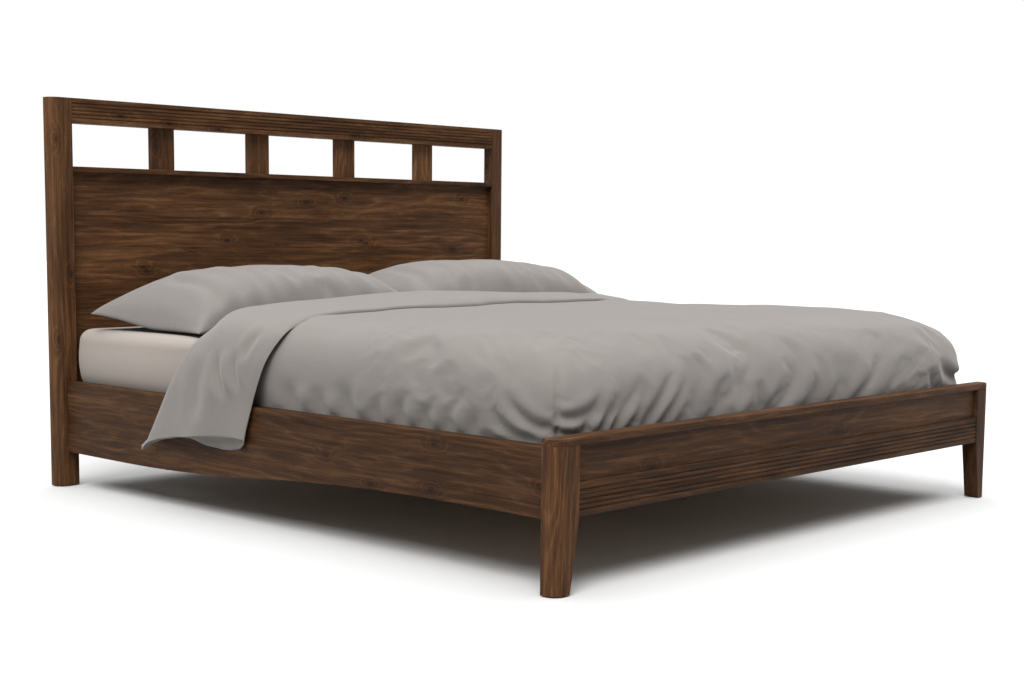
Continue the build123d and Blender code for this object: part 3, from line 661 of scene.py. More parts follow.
# ---- surfaces -------------------------------------------------------------------------------
def spline(points: list[tuple[float, ...]], share: Array) -> Array:
    """A smooth curve through points, read at shares of its chord length.

    Args:
        points: the points it passes, each with the same number of coordinates.
        share: where to read, from 0 at the first point to 1 at the last.

    Returns:
        An array with one row for every share.
    """
    knots = np.asarray(points, float)
    steps = np.linalg.norm(np.diff(knots, axis=0), axis=1)
    place = np.concatenate(([0.0], np.cumsum(steps))) / steps.sum()
    slope = np.gradient(knots, place, axis=0)
    spot = np.clip(np.searchsorted(place, share, side="right") - 1, 0, len(place) - 2)
    gap = (place[spot + 1] - place[spot])[..., None]
    t = (share - place[spot])[..., None] / gap
    return ((2 * t ** 3 - 3 * t ** 2 + 1) * knots[spot] + (t ** 3 - 2 * t ** 2 + t) * gap * slope[spot]
            + (3 * t ** 2 - 2 * t ** 3) * knots[spot + 1] + (t ** 3 - t ** 2) * gap * slope[spot + 1])


def even(points: list[tuple[float, ...]], count: int) -> Array:
    """Evenly spaced points of the smooth curve through a few points.

    Args:
        points: the points it passes.
        count: how many points to give back.

    Returns:
        An array with one row for every evenly spaced point.
    """
    dense = spline(points, np.linspace(0.0, 1.0, SPLINE_SAMPLES * len(points)))
    walked = np.concatenate(([0.0], np.cumsum(np.linalg.norm(np.diff(dense, axis=0), axis=1))))
    at = np.linspace(0.0, walked[-1], count)
    return np.stack([np.interp(at, walked, dense[:, k]) for k in range(dense.shape[1])], axis=1)


def grid_faces(rows: int, columns: int, start: int = 0, flip: bool = False) -> Array:
    """The quads of a grid of vertices numbered row by row.

    Args:
        rows: how many rows of vertices.
        columns: how many vertices in a row.
        start: the first vertex's number.
        flip: whether to turn the faces over.

    Returns:
        An array of four vertex numbers for every face.
    """
    row = np.arange(rows - 1)[:, None]
    first = row * columns + np.arange(columns - 1)[None, :]
    quads = np.stack([first, first + 1, first + columns + 1, first + columns], axis=-1)
    quads = quads.reshape(-1, 4) + start
    return quads[:, ::-1] if flip else quads


def normals(points: Array) -> Array:
    """Unit normals of a grid of points: the cross product of the run of its rows and its columns.

    Args:
        points: a grid of (x, y, z) points.

    Returns:
        A grid of unit vectors.
    """
    down, along = np.gradient(points, axis=0), np.gradient(points, axis=1)
    face = np.cross(along, down)
    return face / np.maximum(np.linalg.norm(face, axis=2, keepdims=True), 1e-12)


def outward_normals(points: Array) -> Array:
    """Unit normals of a grid of points, on the side that faces up in the grid's middle.

    Args:
        points: a grid of (x, y, z) points.

    Returns:
        A grid of unit vectors.
    """
    out = normals(points)
    return out * np.sign(out[out.shape[0] // 2, out.shape[1] // 2, 2])


def build_mesh(name: str, points: Array, faces: list[Array], flat: Array, material: bpy.types.Material,
               subdivide: int = 0) -> bpy.types.Object:
    """Make a smooth-shaded object with its cloth coordinates in metres.

    Args:
        name: the object's name.
        points: one row of coordinates for every vertex.
        faces: arrays of vertex numbers.
        flat: each vertex's place on the flat cloth, in metres, for the UV map.
        material: its material.
        subdivide: levels of Subdivision Surface.

    Returns:
        The object, linked to the scene.
    """
    mesh = bpy.data.meshes.new(name)
    polygons = [face for block in faces for face in block.tolist()]
    mesh.from_pydata(points.tolist(), [], polygons)
    layer = mesh.uv_layers.new(name="cloth")
    corner = np.empty(len(mesh.loops), dtype=np.int32)
    mesh.loops.foreach_get("vertex_index", corner)
    layer.data.foreach_set("uv", flat[corner].astype(np.float32).ravel())
    mesh.polygons.foreach_set("use_smooth", np.ones(len(mesh.polygons), dtype=bool))
    mesh.materials.append(material)
    mesh.update()
    mesh.validate()
    piece = bpy.data.objects.new(name, mesh)
    bpy.context.scene.collection.objects.link(piece)
    if subdivide:
        smoother = piece.modifiers.new("smooth", "SUBSURF")
        smoother.levels = subdivide
        smoother.render_levels = subdivide
    return piece


def read_points(mesh: bpy.types.Mesh) -> Array:
    """Read where a mesh's vertices are.

    Args:
        mesh: the mesh.

    Returns:
        One row of coordinates for every vertex.
    """
    found = np.empty(len(mesh.vertices) * 3)
    mesh.vertices.foreach_get("co", found)
    return found.reshape(-1, 3)


@dataclass(frozen=True)
class ClothRun:
    """How a piece of cloth is inflated: one short Cloth simulation whose result is kept."""

    pressure: float
    frames: int
    cap: float
    grow: float = 0.0
    mass: float = 0.3
    tension: float = 15.0
    bending: float = 0.5
    shear: float = 5.0
    damping: float = 10.0
    air_damping: float = 2.0
    quality: int = 6

    def run(self, piece: bpy.types.Object, held: Array | None = None) -> None:
        """Simulate, cap how far each point moved and write the points back.

        Args:
            piece: the closed cloth; its modifiers are set aside.
            held: for each vertex how firmly it stays put, from 0 to 1.
        """
        scene = bpy.context.scene
        start = read_points(piece.data)
        trial = bpy.data.objects.new(piece.name + "_trial", piece.data.copy())
        scene.collection.objects.link(trial)
        cloth = trial.modifiers.new("cloth", "CLOTH")
        rules = cloth.settings
        rules.quality = self.quality
        rules.mass = self.mass
        rules.tension_stiffness = self.tension
        rules.compression_stiffness = self.tension
        rules.shear_stiffness = self.shear
        rules.bending_stiffness = self.bending
        rules.tension_damping = self.damping
        rules.compression_damping = self.damping
        rules.air_damping = self.air_damping
        rules.shrink_min = -self.grow
        rules.use_pressure = True
        rules.uniform_pressure_force = self.pressure
        rules.effector_weights.gravity = 0.0
        cloth.collision_settings.use_collision = False
        if held is not None:
            group = trial.vertex_groups.new(name="held")
            steps = np.round(held * HOLD_LEVELS) / HOLD_LEVELS
            for level in np.unique(steps[steps > 0]):
                group.add(np.nonzero(steps == level)[0].tolist(), float(level), "REPLACE")
            rules.vertex_group_mass = "held"
        cloth.point_cache.frame_start = 1
        cloth.point_cache.frame_end = self.frames
        for step in range(1, self.frames + 1):
            scene.frame_set(step)
        settled = trial.evaluated_get(bpy.context.evaluated_depsgraph_get())
        end = read_points(settled.data)
        scene.frame_set(1)
        move = end - start
        far = np.maximum(np.linalg.norm(move, axis=1, keepdims=True), TINY)
        free = 1.0 if held is None else 1.0 - held[:, None]
        end = start + move * np.minimum(1.0, self.cap / far) * free
        piece.data.vertices.foreach_set("co", end.ravel())
        piece.data.update()
        spare = trial.data
        bpy.data.objects.remove(trial)
        bpy.data.meshes.remove(spare)


# ---- bedding --------------------------------------------------------------------------------
def bed_datum() -> Array:
    """The point that the bedding is laid out from.

    Returns:
        The middle of the bed in plan, at the height of the mattress's top.
    """
    low, high = CAD_BOX
    return np.array([(low[0] + high[0]) / 2, (low[1] + high[1]) / 2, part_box("mattress")[1][2]])


def wrap(a: Array, b: Array, half: float, foot: float, head: float, profile: Array, depth: float,
         square: tuple[float | Array, float | Array]) -> tuple[Array, Array, Array]:
    """Lay a grid of cloth over a block: flat on top, down the sides, gathered round the corners.

    Args:
        a: cloth coordinates across the bed, measured from its middle.
        b: cloth coordinates along the bed; they match Y on the flat top.
        half: half the flat top's width.
        foot: where the flat top ends towards the foot.
        head: where it ends towards the head.
        profile: evenly spaced (outward, height) points from the flat top's rim down to the hem.
        depth: the profile's length.
        square: how square the corners are at the rim and at the hem; 2 is round.

    Returns:
        The points, how far down the side each lies, and its angle round the corner, from 0 on the
        long side to pi/2 on the end.
    """
    out_x = np.maximum(np.abs(a) - half, 0.0)
    out_y = np.maximum(np.maximum(foot - b, b - head), 0.0)
    down = np.minimum(np.maximum(out_x, out_y), depth)
    largest = np.maximum(down, TINY)
    share_y, share_x = np.minimum(out_y / largest, 1.0), np.minimum(out_x / largest, 1.0)
    angle = np.where(out_x >= out_y, share_y, 2.0 - share_x) * math.pi / 4
    at = down / depth * (len(profile) - 1)
    outward = np.interp(at, np.arange(len(profile)), profile[:, 0])
    height = np.interp(at, np.arange(len(profile)), profile[:, 1])
    power = square[0] + (square[1] - square[0]) * down / depth
    cos, sin = np.clip(np.cos(angle), 0.0, 1.0), np.clip(np.sin(angle), 0.0, 1.0)
    reach = outward / (cos ** power + sin ** power) ** (1.0 / power)
    x = np.sign(a) * (np.minimum(np.abs(a), half) + reach * cos)
    y = np.clip(b, foot, head) + np.where(b < foot, -1.0, 1.0) * reach * sin
    return np.stack([x, y, height], axis=-1), down, angle


def run_length(line: Array) -> float:
    """The length of a line of points."""
    return float(np.linalg.norm(np.diff(line, axis=0), axis=1).sum())


def border(rows: int, columns: int) -> Array:
    """The outside vertex numbers of a grid, in order round it.

    Args:
        rows: how many rows of vertices.
        columns: how many vertices in a row.

    Returns:
        The numbers of the grid's outermost vertices.
    """
    grid = np.arange(rows * columns).reshape(rows, columns)
    return np.concatenate([grid[0], grid[1:, -1], grid[-1, -2::-1], grid[-2:0:-1, 0]])


@dataclass
class Mattress:
    """A block in a smooth fitted cover, rounded at its edges and upright corners."""

    edge: float = 0.046
    corner: float = 0.052
    foot_corner: float = 2.0
    head_corner: float = 3.4
    head_bulge: float = 0.010
    bulge_from: float = 0.57
    bulge_full: float = 0.32
    post_gap: float = 0.018
    slack: float = 0.0012
    fill: float = 0.95
    step: float = 0.008
    top_lines: int = 60
    side_points: int = 80

    def profile(self, tall: float) -> Array:
        """The wall's outline: rounded at the top, upright, then curving under.

        Args:
            tall: the mattress's height.

        Returns:
            Evenly spaced (outward, height) points from the flat top's rim down to the underside.
        """
        edge, rim = self.edge, self.corner
        side = [(0.0, 0.0), (rim - edge, 0.0), (rim - 0.45 * edge, -0.11 * edge),
                (rim - 0.11 * edge, -0.45 * edge), (rim, -edge - 0.01), (rim, -0.52 * tall),
                (rim - 0.10 * edge, -0.66 * tall), (rim - 0.34 * edge, -0.80 * tall),
                (rim - 0.70 * edge, -0.92 * tall), (rim - edge, -tall)]
        return even(side, self.side_points)

    def build(self) -> bpy.types.Object:
        """Make the mattress inside its CAD box.

        Returns:
            The mattress, standing for its CAD node.
        """
        low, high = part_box("mattress")
        rim = self.corner
        profile = self.profile(high[2] - low[2]) + np.array([0.0, high[2]])
        depth = run_length(profile)
        half, foot, head = high[0] - rim, low[1] + rim, high[1] - rim
        wall = np.linspace(0.0, depth, int(depth / self.step))
        middle_x = np.linspace(-half, half, self.top_lines)[1:-1]
        middle_y = np.linspace(foot, head, self.top_lines)[1:-1]
        across = np.concatenate([-half - wall[::-1], middle_x, half + wall])
        along = np.concatenate([foot - wall[::-1], middle_y, head + wall])
        a, b = np.meshgrid(across, along)
        square = np.where(b > (foot + head) / 2, self.head_corner, self.foot_corner)
        points, down, _ = wrap(a, b, half, foot, head, profile, depth, (square, square))
        slack = self.slack * np.sin(9.0 * a + 2.0 * b) * np.sin(7.0 * b) * smooth(0.0, 0.12, down)
        points = points + outward_normals(points) * slack[..., None]
        bulge = (self.head_bulge * np.sin(math.pi * down / depth)
                 * smooth(high[1] - self.bulge_from, high[1] - self.bulge_full, b)
                 * smooth(high[1] - self.post_gap, high[1] - 2.0 * self.post_gap, points[..., 1]))
        points[..., 0] += np.sign(a) * bulge * (np.abs(a) > half)
        faces = [grid_faces(*a.shape), border(*a.shape)[::-1][None, :]]
        flat = np.stack([a, b], -1).reshape(-1, 2)
        piece = build_mesh("mattress_cover", points.reshape(-1, 3), faces, flat, MATTRESS_CLOTH.material())
        return finish_cloth(piece, "mattress")


def finish_cloth(piece: bpy.types.Object, node: str) -> bpy.types.Object:
    """Hide the CAD node that a padded piece stands for and hang the piece under the root body.

    Args:
        piece: the piece.
        node: the CAD node that it stands for.

    Returns:
        The same piece.
    """
    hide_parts(node)
    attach(piece, "root")
    return piece


@dataclass(frozen=True)
class Fold:
    """A crease in the duvet's side, given along the hem from a foot corner and up from the hem."""

    path: tuple[tuple[float, float], ...]
    depth: float
    width: float
    on_side: bool = False
    mirrored: bool = False
    lips: float = 0.45
    deepens: float = 0.22
    fades: float = 0.45
    widens: float = 0.9
    lip_place: float = 2.1
    lip_width: float = 1.15
    samples: int = 48

    def lift(self, along: Array, up: Array) -> Array:
        """How far the fold moves each point outwards.

        Args:
            along: distance along the hem from the corner.
            up: distance up from the hem.

        Returns:
            A valley with a rounded lip on both sides, dying out at its ends.
        """
        line = even(list(self.path), self.samples)
        place = np.stack([along, up], axis=-1)
        best = np.full(along.shape, np.inf)
        share = np.zeros(along.shape)
        for number, point in enumerate(line):
            gap = np.linalg.norm(place - point, axis=-1)
            share = np.where(gap < best, number / (len(line) - 1), share)
            best = np.minimum(best, gap)
        fade = smooth(0.0, self.deepens, share) * (1.0 - smooth(self.fades, 1.0, share))
        wide = self.width * (1.0 + self.widens * share)
        valley = -np.exp(-(best / wide) ** 2)
        lip = self.lips * np.exp(-((best - self.lip_place * wide) / (self.lip_width * wide)) ** 2)
        return self.depth * fade * (valley + lip)


@dataclass
class DuvetBody:
    """The duvet over the mattress, its sides and foot end tucked inside the rails."""

    side_rim: float = 0.180
    foot_rim: float = 0.177
    head_gap: float = 0.648
    half: float = field(init=False)
    foot: float = field(init=False)
    head: float = field(init=False)
    step: float = 0.0065
    rim_side: tuple[tuple[float, float], ...] = (
        (0.0, 0.0676), (0.06, 0.0636), (0.115, 0.0476), (0.160, 0.0176), (0.187, -0.0234), (0.197, -0.0704),
        (0.195, -0.1134), (0.188, -0.1504), (0.1835, -0.1734))
    rim_under: tuple[tuple[float, float], ...] = (
        (0.0, 0.0031), (0.06, 0.0031), (0.125, 0.0026), (0.150, -0.0014), (0.167, -0.0114), (0.178, -0.0304),
        (0.1816, -0.0604), (0.1818, -0.1134), (0.1818, -0.1504), (0.1820, -0.1744))
    crown: float = 0.012
    crown_width: float = 0.75
    crown_from: float = -1.1
    crown_full: float = -0.4
    ridge_top: float = 0.23
    ridge_full: float = 0.10
    lumps_from: float = -0.02
    lumps_full: float = 0.10
    lining_end: float = 0.1
    lump_heights: tuple[float, float, float] = (0.0032, 0.0020, 0.0010)
    corner_power: tuple[float, float] = (3.0, 7.0)
    corner_ridge: float = 0.0040
    ridge_width: float = 0.03
    closing: float = 0.09
    closed_gap: float = 0.004
    seam_held: float = 0.03
    held_from: float = -0.45
    held_full: float = -0.10
    fill: float = 0.5
    top_columns: int = 112
    top_rows: int = 92
    least: float = 0.003
    rail_clearance: float = 0.001
    dart_width: float = 0.0040
    dart_depth: float = 0.010
    dart_top: float = 0.20
    dart_full: float = 0.15
    dart_power: float = 1.4
    corner_arc: float = 0.149
    folds: tuple[Fold, ...] = (
        Fold(((0.030, 0.00), (0.050, 0.040), (0.125, 0.115)), 0.009, 0.009),
        Fold(((0.075, 0.00), (0.103, 0.045), (0.225, 0.165)), 0.013, 0.011),
        Fold(((0.120, 0.00), (0.148, 0.045), (0.275, 0.165)), 0.012, 0.010),
        Fold(((0.175, 0.00), (0.195, 0.030), (0.270, 0.100)), 0.010, 0.009),
        Fold(((0.225, 0.00), (0.252, 0.035), (0.330, 0.110), (0.440, 0.240)), 0.015, 0.012),
        Fold(((0.290, 0.00), (0.318, 0.035), (0.390, 0.105), (0.470, 0.220)), 0.014, 0.012),
        Fold(((0.360, 0.00), (0.390, 0.040), (0.470, 0.120), (0.520, 0.220)), 0.006, 0.020),
        Fold(((0.470, 0.00), (0.515, 0.045), (0.645, 0.125), (0.680, 0.200), (0.620, 0.330)), 0.013, 0.022),
        Fold(((0.740, 0.00), (0.785, 0.040), (0.880, 0.110), (0.920, 0.200)), 0.014, 0.018),
        Fold(((0.900, 0.00), (0.950, 0.040), (1.040, 0.120)), 0.009, 0.020),
        Fold(((1.020, 0.00), (1.060, 0.040), (1.120, 0.100)), 0.007, 0.016),
        Fold(((1.150, 0.00), (1.195, 0.040), (1.285, 0.110), (1.290, 0.190)), 0.012, 0.016),
        Fold(((-0.010, 0.078), (0.030, 0.074), (0.075, 0.092), (0.115, 0.135)), 0.012, 0.009),
        Fold(((-0.020, 0.040), (0.025, 0.040), (0.065, 0.060)), 0.008, 0.008),
        Fold(((0.004, 0.050), (-0.040, 0.056), (-0.085, 0.082), (-0.120, 0.135)), 0.014, 0.010),
        Fold(((-0.020, 0.018), (-0.085, 0.030), (-0.140, 0.058), (-0.180, 0.110)), 0.013, 0.010),
        Fold(((-0.215, 0.00), (-0.225, 0.030), (-0.205, 0.075)), 0.008, 0.014),
        Fold(((-0.300, 0.00), (-0.305, 0.050), (-0.290, 0.120)), 0.007, 0.018, True),
        Fold(((-0.375, 0.00), (-0.385, 0.040), (-0.375, 0.100)), 0.009, 0.018, True),
        Fold(((-0.460, 0.00), (-0.475, 0.050), (-0.470, 0.110)), 0.010, 0.020, True),
        Fold(((-0.545, 0.00), (-0.555, 0.040), (-0.575, 0.100)), 0.008, 0.018, True),
        Fold(((-0.650, 0.00), (-0.670, 0.050), (-0.690, 0.120)), 0.011, 0.021, True),
        Fold(((-0.760, 0.00), (-0.775, 0.040), (-0.780, 0.100)), 0.008, 0.020, True),
        Fold(((-0.870, 0.00), (-0.895, 0.050), (-0.900, 0.110)), 0.009, 0.022, True),
        Fold(((-0.020, 0.070), (0.030, 0.060), (0.100, 0.095), (0.140, 0.150)), 0.012, 0.011, mirrored=True),
        Fold(((0.020, 0.046), (-0.050, 0.050), (-0.110, 0.100)), 0.012, 0.011, mirrored=True),
        Fold(((0.120, 0.00), (0.140, 0.050), (0.200, 0.120)), 0.009, 0.012, mirrored=True),
        Fold(((-0.300, 0.00), (-0.320, 0.050), (-0.360, 0.120)), 0.010, 0.018, True, True),
        Fold(((-0.480, 0.00), (-0.490, 0.050), (-0.480, 0.110)), 0.009, 0.020, True, True),
        Fold(((-0.700, 0.00), (-0.720, 0.050), (-0.750, 0.120)), 0.010, 0.020, True, True),
    )
    loft: ClothRun = ClothRun(pressure=1.0, frames=12, cap=0.007, grow=0.008)

    def __post_init__(self) -> None:
        """Work out where the flat top ends, from the mattress."""
        low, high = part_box("mattress")
        middle = bed_datum()
        self.half = high[0] - middle[0] - self.side_rim
        self.foot = low[1] - middle[1] + self.foot_rim
        self.head = high[1] - middle[1] - self.head_gap

    def lumps(self, a: Array, b: Array) -> Array:
        """The uneven filling: three products of sine waves, each bent by another wave.

        Args:
            a: cloth coordinates across the bed.
            b: cloth coordinates along the bed.

        Returns:
            How far the cover is lifted at each place.
        """
        large, middling, small = self.lump_heights
        wide = np.sin(7.3 * a + 1.9 * np.sin(2.7 * b) + 0.6)
        return (large * wide * np.sin(4.1 * b + 1.3 * np.sin(3.9 * a))
                + middling * np.sin(15.0 * b + 3.1 * np.sin(2.1 * a + 0.8)) * np.sin(5.1 * a + 2.0)
                + small * np.sin(31.0 * b + 4.0 * np.sin(3.3 * a)) * np.sin(6.7 * a + 4.0 * b))

    def crest(self, a: Array, b: Array) -> Array:
        """How far the filling's crown lifts the cover at each place on the cloth."""
        return self.crown * np.cos(a / self.crown_width) * smooth(self.crown_from, self.crown_full, b)

    def top(self, a: Array, b: Array) -> Array:
        """Where the cover lies over each place in plan.

        Args:
            a: places across the bed, from its middle.
            b: places along the bed.

        Returns:
            The cover's height above the mattress's top.
        """
        rim = even(list(self.rim_side), PROFILE_POINTS)
        steep = int(np.argmax(rim[:, 0]))
        fall = np.interp(np.abs(a) - self.half, rim[:steep, 0], rim[:steep, 1])
        return fall + self.crest(a, b) + self.lumps(a, b)

    def lattice(self, depth: float) -> tuple[Array, Array]:
        """Cloth coordinates: close together on the sides, wider apart on top.

        Args:
            depth: how far the cloth runs down the sides.

        Returns:
            Grids of the coordinates across and along the bed.
        """
        wall = np.linspace(0.0, depth, int(depth / self.step))
        middle = np.linspace(-self.half, self.half, self.top_columns)[1:-1]
        across = np.concatenate([-self.half - wall[::-1], middle, self.half + wall])
        ahead = np.linspace(self.foot, self.head, self.top_rows)[1:]
        along = np.concatenate([self.foot - wall[::-1], ahead])
        return np.meshgrid(across, along)

    def relief(self, a: Array, b: Array, down: Array, angle: Array, depth: float) -> Array:
        """The folds, the corner ridges and the filling's lumps.

        Args:
            a: cloth coordinates across the bed.
            b: cloth coordinates along the bed.
            down: how far down the side each point lies.
            angle: each point's angle round its corner, from 0 on the long side to pi/2 on the end.
            depth: the side's full length.

        Returns:
            How far each point moves outwards.
        """
        up = depth - down
        rise = np.zeros(a.shape)
        for mirrored in (False, True):
            side_a = -a if mirrored else a
            on_foot = angle > math.pi / 4
            turned = (angle - math.pi / 4) / (math.pi / 4) * self.corner_arc
            straight_foot = self.corner_arc + np.maximum(side_a + self.half, 0.0)
            straight_side = -self.corner_arc - np.maximum(b - self.foot, 0.0)
            corner = (side_a < -self.half) & (b < self.foot)
            wall_foot = np.where(corner, turned, np.where(b < self.foot, straight_foot, straight_side))
            top = down <= 0.0
            along_foot = np.where(top, straight_foot, wall_foot)
            up_foot = np.where(top, depth + b - self.foot, up)
            along_side = np.where(top, straight_side, wall_foot)
            up_side = np.where(top, depth + side_a + self.half, up)
            along_foot = np.where((side_a > self.half) & ~top, FAR_OFF, along_foot)
            along_side = np.where((side_a > -self.half) & ~top, FAR_OFF, along_side)
            for fold in self.folds:
                if fold.mirrored != mirrored:
                    continue
                if fold.on_side:
                    rise += fold.lift(along_side, up_side)
                else:
                    rise += fold.lift(along_foot, up_foot)
            ridge = self.corner_ridge * bump(turned, 0.0, self.ridge_width)
            rise += np.where(corner, ridge * smooth(self.ridge_top, self.ridge_full, up), 0.0)
        return rise + self.lumps(a, b) * smooth(self.lumps_from, self.lumps_full, up)

    def build(self) -> bpy.types.Object:
        """Make the duvet's body.

        Returns:
            The closed, padded piece.
        """
        outer = even(list(self.rim_side), PROFILE_POINTS)
        inner = even(list(self.rim_under), PROFILE_POINTS)
        depth = run_length(outer)
        a, b = self.lattice(depth)
        over, down, angle = wrap(a, b, self.half, self.foot, FAR_OFF, outer, depth, self.corner_power)
        under, _, _ = wrap(a, b, self.half, self.foot, FAR_OFF, inner, depth, self.corner_power)
        over[..., 2] += self.crest(a, b) * (1.0 - down / depth)
        out = outward_normals(over)
        room = np.linalg.norm(over - under, axis=-1)
        rise = np.maximum(self.relief(a, b, down, angle, depth), self.least - room)
        over = over + out * rise[..., None]
        closing = smooth(self.head - self.closing, self.head, b)
        gap = np.maximum(over[..., 2] - under[..., 2] - self.closed_gap, 0.0)
        over[..., 2] = over[..., 2] - closing ** 2 * gap
        rows, columns = a.shape
        points = np.concatenate([over.reshape(-1, 3), under.reshape(-1, 3)]) + bed_datum()
        loop = border(rows, columns)
        after = np.roll(loop, -1)
        rim = np.stack([loop, loop + rows * columns, after + rows * columns, after], axis=1)
        faces = [grid_faces(rows, columns), grid_faces(rows, columns, start=rows * columns, flip=True), rim]
        flat = np.concatenate([np.stack([a, b], -1).reshape(-1, 2)] * 2)
        piece = build_mesh("duvet_body", points, faces, flat, DUVET_CLOTH.material(), 1)
        held = np.zeros((2, rows, columns))
        held[1] = 1.0
        towards_head = smooth(self.held_from, self.held_full, b)
        held[0] = np.where(depth - down < self.seam_held, 1.0, towards_head)
        self.loft.run(piece, held.ravel())
        self.stitch_darts(piece, a, b, down, angle, depth)
        return finish_cloth(piece, "duvet")

    def stitch_darts(self, piece: bpy.types.Object, a: Array, b: Array, down: Array, angle: Array,
                     depth: float) -> None:
        """Keep the cover clear of the lining and draw in the seam down each foot corner.

        Args:
            piece: the duvet's body, changed in place.
            a: cloth coordinates across the bed.
            b: cloth coordinates along the bed.
            down: how far down the side each point lies.
            angle: each point's angle round its corner.
            depth: the side's full length.
        """
        points = read_points(piece.data)
        over = points[:a.size].reshape(*a.shape, 3)
        out = outward_normals(over)
        under = points[a.size:].reshape(*a.shape, 3)
        gap = np.sum((over - under) * out, axis=-1)
        lined = b < self.head - self.lining_end
        over += out * np.maximum(self.least - gap, 0.0)[..., None] * lined[..., None]
        turned = np.abs(angle - math.pi / 4) / (math.pi / 4) * self.corner_arc
        corner = (np.abs(a) > self.half) & (b < self.foot)
        up = depth - down
        cut = np.exp(-(turned / self.dart_width) ** self.dart_power)
        cut = cut * smooth(self.dart_top, self.dart_full, up) * corner
        over -= out * (self.dart_depth * cut)[..., None]
        points[:a.size] = over.reshape(-1, 3)
        rail_low, rail_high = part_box("side_rail_right")
        between = points[:, 2] < rail_high[2] + self.rail_clearance
        limit = rail_low[0] - self.rail_clearance
        points[:, 0] = np.where(between, np.clip(points[:, 0], -limit, limit), points[:, 0])
        piece.data.vertices.foreach_set("co", points.ravel())
        piece.data.update()


@dataclass
class TurnBack:
    """The duvet's top end folded back over itself, its left end hanging over the side rail."""

    body: DuvetBody
    path: tuple[tuple[float, float, float, float], ...] = (
        (0.914, -0.1494, 0.290, 0.420), (0.936, -0.0854, 0.280, 0.420), (0.926, 0.0046, 0.260, 0.420),
        (0.865, 0.0706, 0.235, 0.420), (0.70, 0.0966, 0.210, 0.425), (0.40, 0.1086, 0.190, 0.435),
        (0.00, 0.1146, 0.150, 0.450), (-0.40, 0.1096, 0.105, 0.430), (-0.68, 0.0986, 0.065, 0.405),
        (-0.82, 0.0806, 0.030, 0.380), (-0.905, 0.0446, 0.005, 0.345), (-0.950, -0.0234, 0.022, 0.382),
        (-0.968, -0.0954, 0.042, 0.428), (-0.976, -0.1704, 0.065, 0.470), (-0.981, -0.2204, 0.078, 0.500),
        (-0.984, -0.2604, 0.084, 0.530))
    rows: int = 250
    columns: int = 72
    hem_clearance: float = 0.0012
    clearance: float = 0.0004
    rail_clearance: float = 0.0015
    rim_reach: float = 0.150
    closing_reach: float = 0.085
    hem_width: float = 0.12
    thin: float = 0.021
    thicker: float = 0.018
    hanging_thick: float = 0.019
    swell: float = 0.004
    pocket_depth: float = 0.028
    fill: float = 0.35
    hang_from: float = -0.80
    hang_full: float = -0.95
    right_from: float = 0.84
    right_full: float = 0.93
    right_thinning: float = 0.7
    hem_waves: tuple[tuple[float, float], ...] = ((0.006, 17.0), (0.004, 41.0))
    settle_from: float = 0.70
    settle_full: float = 0.60
    edge_power: int = 5
    lobe_from: float = 0.90
    lobe_swell: float = 0.75
    lobe_at: float = 0.27
    lobe_width: float = 0.16
    drop_from: float = 0.86
    tip_from: float = 0.80
    tip_reach: float = 0.028
    hang_wave: float = 0.006
    crease_samples: int = 30
    corner_creases: tuple[tuple[tuple[tuple[float, float], ...], float, float], ...] = (
        (((0.150, -0.0004), (0.140, -0.0654), (0.110, -0.1404)), 0.009, 0.012),
        (((0.225, -0.0054), (0.205, -0.0754), (0.160, -0.1604)), 0.012, 0.013),
        (((0.310, -0.0354), (0.290, -0.1354), (0.270, -0.2254)), 0.007, 0.026),
        (((0.080, 0.0596), (0.105, -0.0054), (0.110, -0.0554)), 0.006, 0.014),
    )

    def section(self, w: Array, roll: Array) -> tuple[Array, Array]:
        """The band's outline across its width: a flat hem in front, rolled over at the back.

        Args:
            w: shares of the width, from the hem in front to the fold at the back.
            roll: for each row, how far it is rolled over instead of flat, from 0 to 1.

        Returns:
            How far each point is lifted, and the share of the width that it reaches.
        """
        stations = np.array([0.0, 0.015, 0.06, 0.15, 0.45, 0.72, 0.86, 0.95, 1.0])
        height_flat = np.array([-0.020, -0.018, -0.013, -0.010, -0.003, 0.0, -0.008, -0.014, -0.018])
        height_roll = np.array([-0.028, -0.020, -0.015, -0.011, -0.006, 0.0, -0.028, -0.066, -0.100])
        reach_flat = np.array([0.0, 0.012, 0.058, 0.15, 0.45, 0.72, 0.87, 0.96, 1.0])
        reach_roll = np.array([0.0, 0.006, 0.055, 0.17, 0.53, 0.85, 1.01, 1.04, 1.01])
        kernel = np.array([1.0, 2.0, 3.0, 2.0, 1.0]) / 9.0
        found = []
        for flat, rolled in ((height_flat, height_roll), (reach_flat, reach_roll)):
            line = (np.interp(w[0], stations, flat)[None] * (1.0 - roll)
                    + np.interp(w[0], stations, rolled)[None] * roll)
            for _ in range(3):
                line[:, 2:-2] = np.apply_along_axis(lambda row: np.convolve(row, kernel, "valid"), 1, line)
            found.append(line)
        return found[0], found[1]

    def shell(self) -> list[Array]:
        """The faces of the closed band, whose last row is drawn in to a pocket.

        Returns:
            Arrays of vertex numbers: the upper sheet is numbered first, then the lower one and the pocket.
        """
        grid, step = self.rows * self.columns, self.columns
        first = np.arange(step - 1)
        top, bottom, deep = grid - step + first, 2 * grid - step + first, 2 * grid + first
        left = np.arange(self.rows - 1) * step
        right = left + step - 1
        return [
            grid_faces(self.rows, step),
            grid_faces(self.rows, step, start=grid, flip=True),
            np.stack([top, top + 1, deep + 1, deep], axis=1),
            np.stack([deep, deep + 1, bottom + 1, bottom], axis=1),
            np.stack([first + 1, first, first + grid, first + grid + 1], axis=1),
            np.stack([left, left + step, left + step + grid, left + grid], axis=1),
            np.stack([right + step, right, right + grid, right + step + grid], axis=1),
            np.array([[grid - step, 2 * grid, 2 * grid - step]]),
            np.array([[grid - 1, 2 * grid - 1, 2 * grid + step - 1]]),
        ]

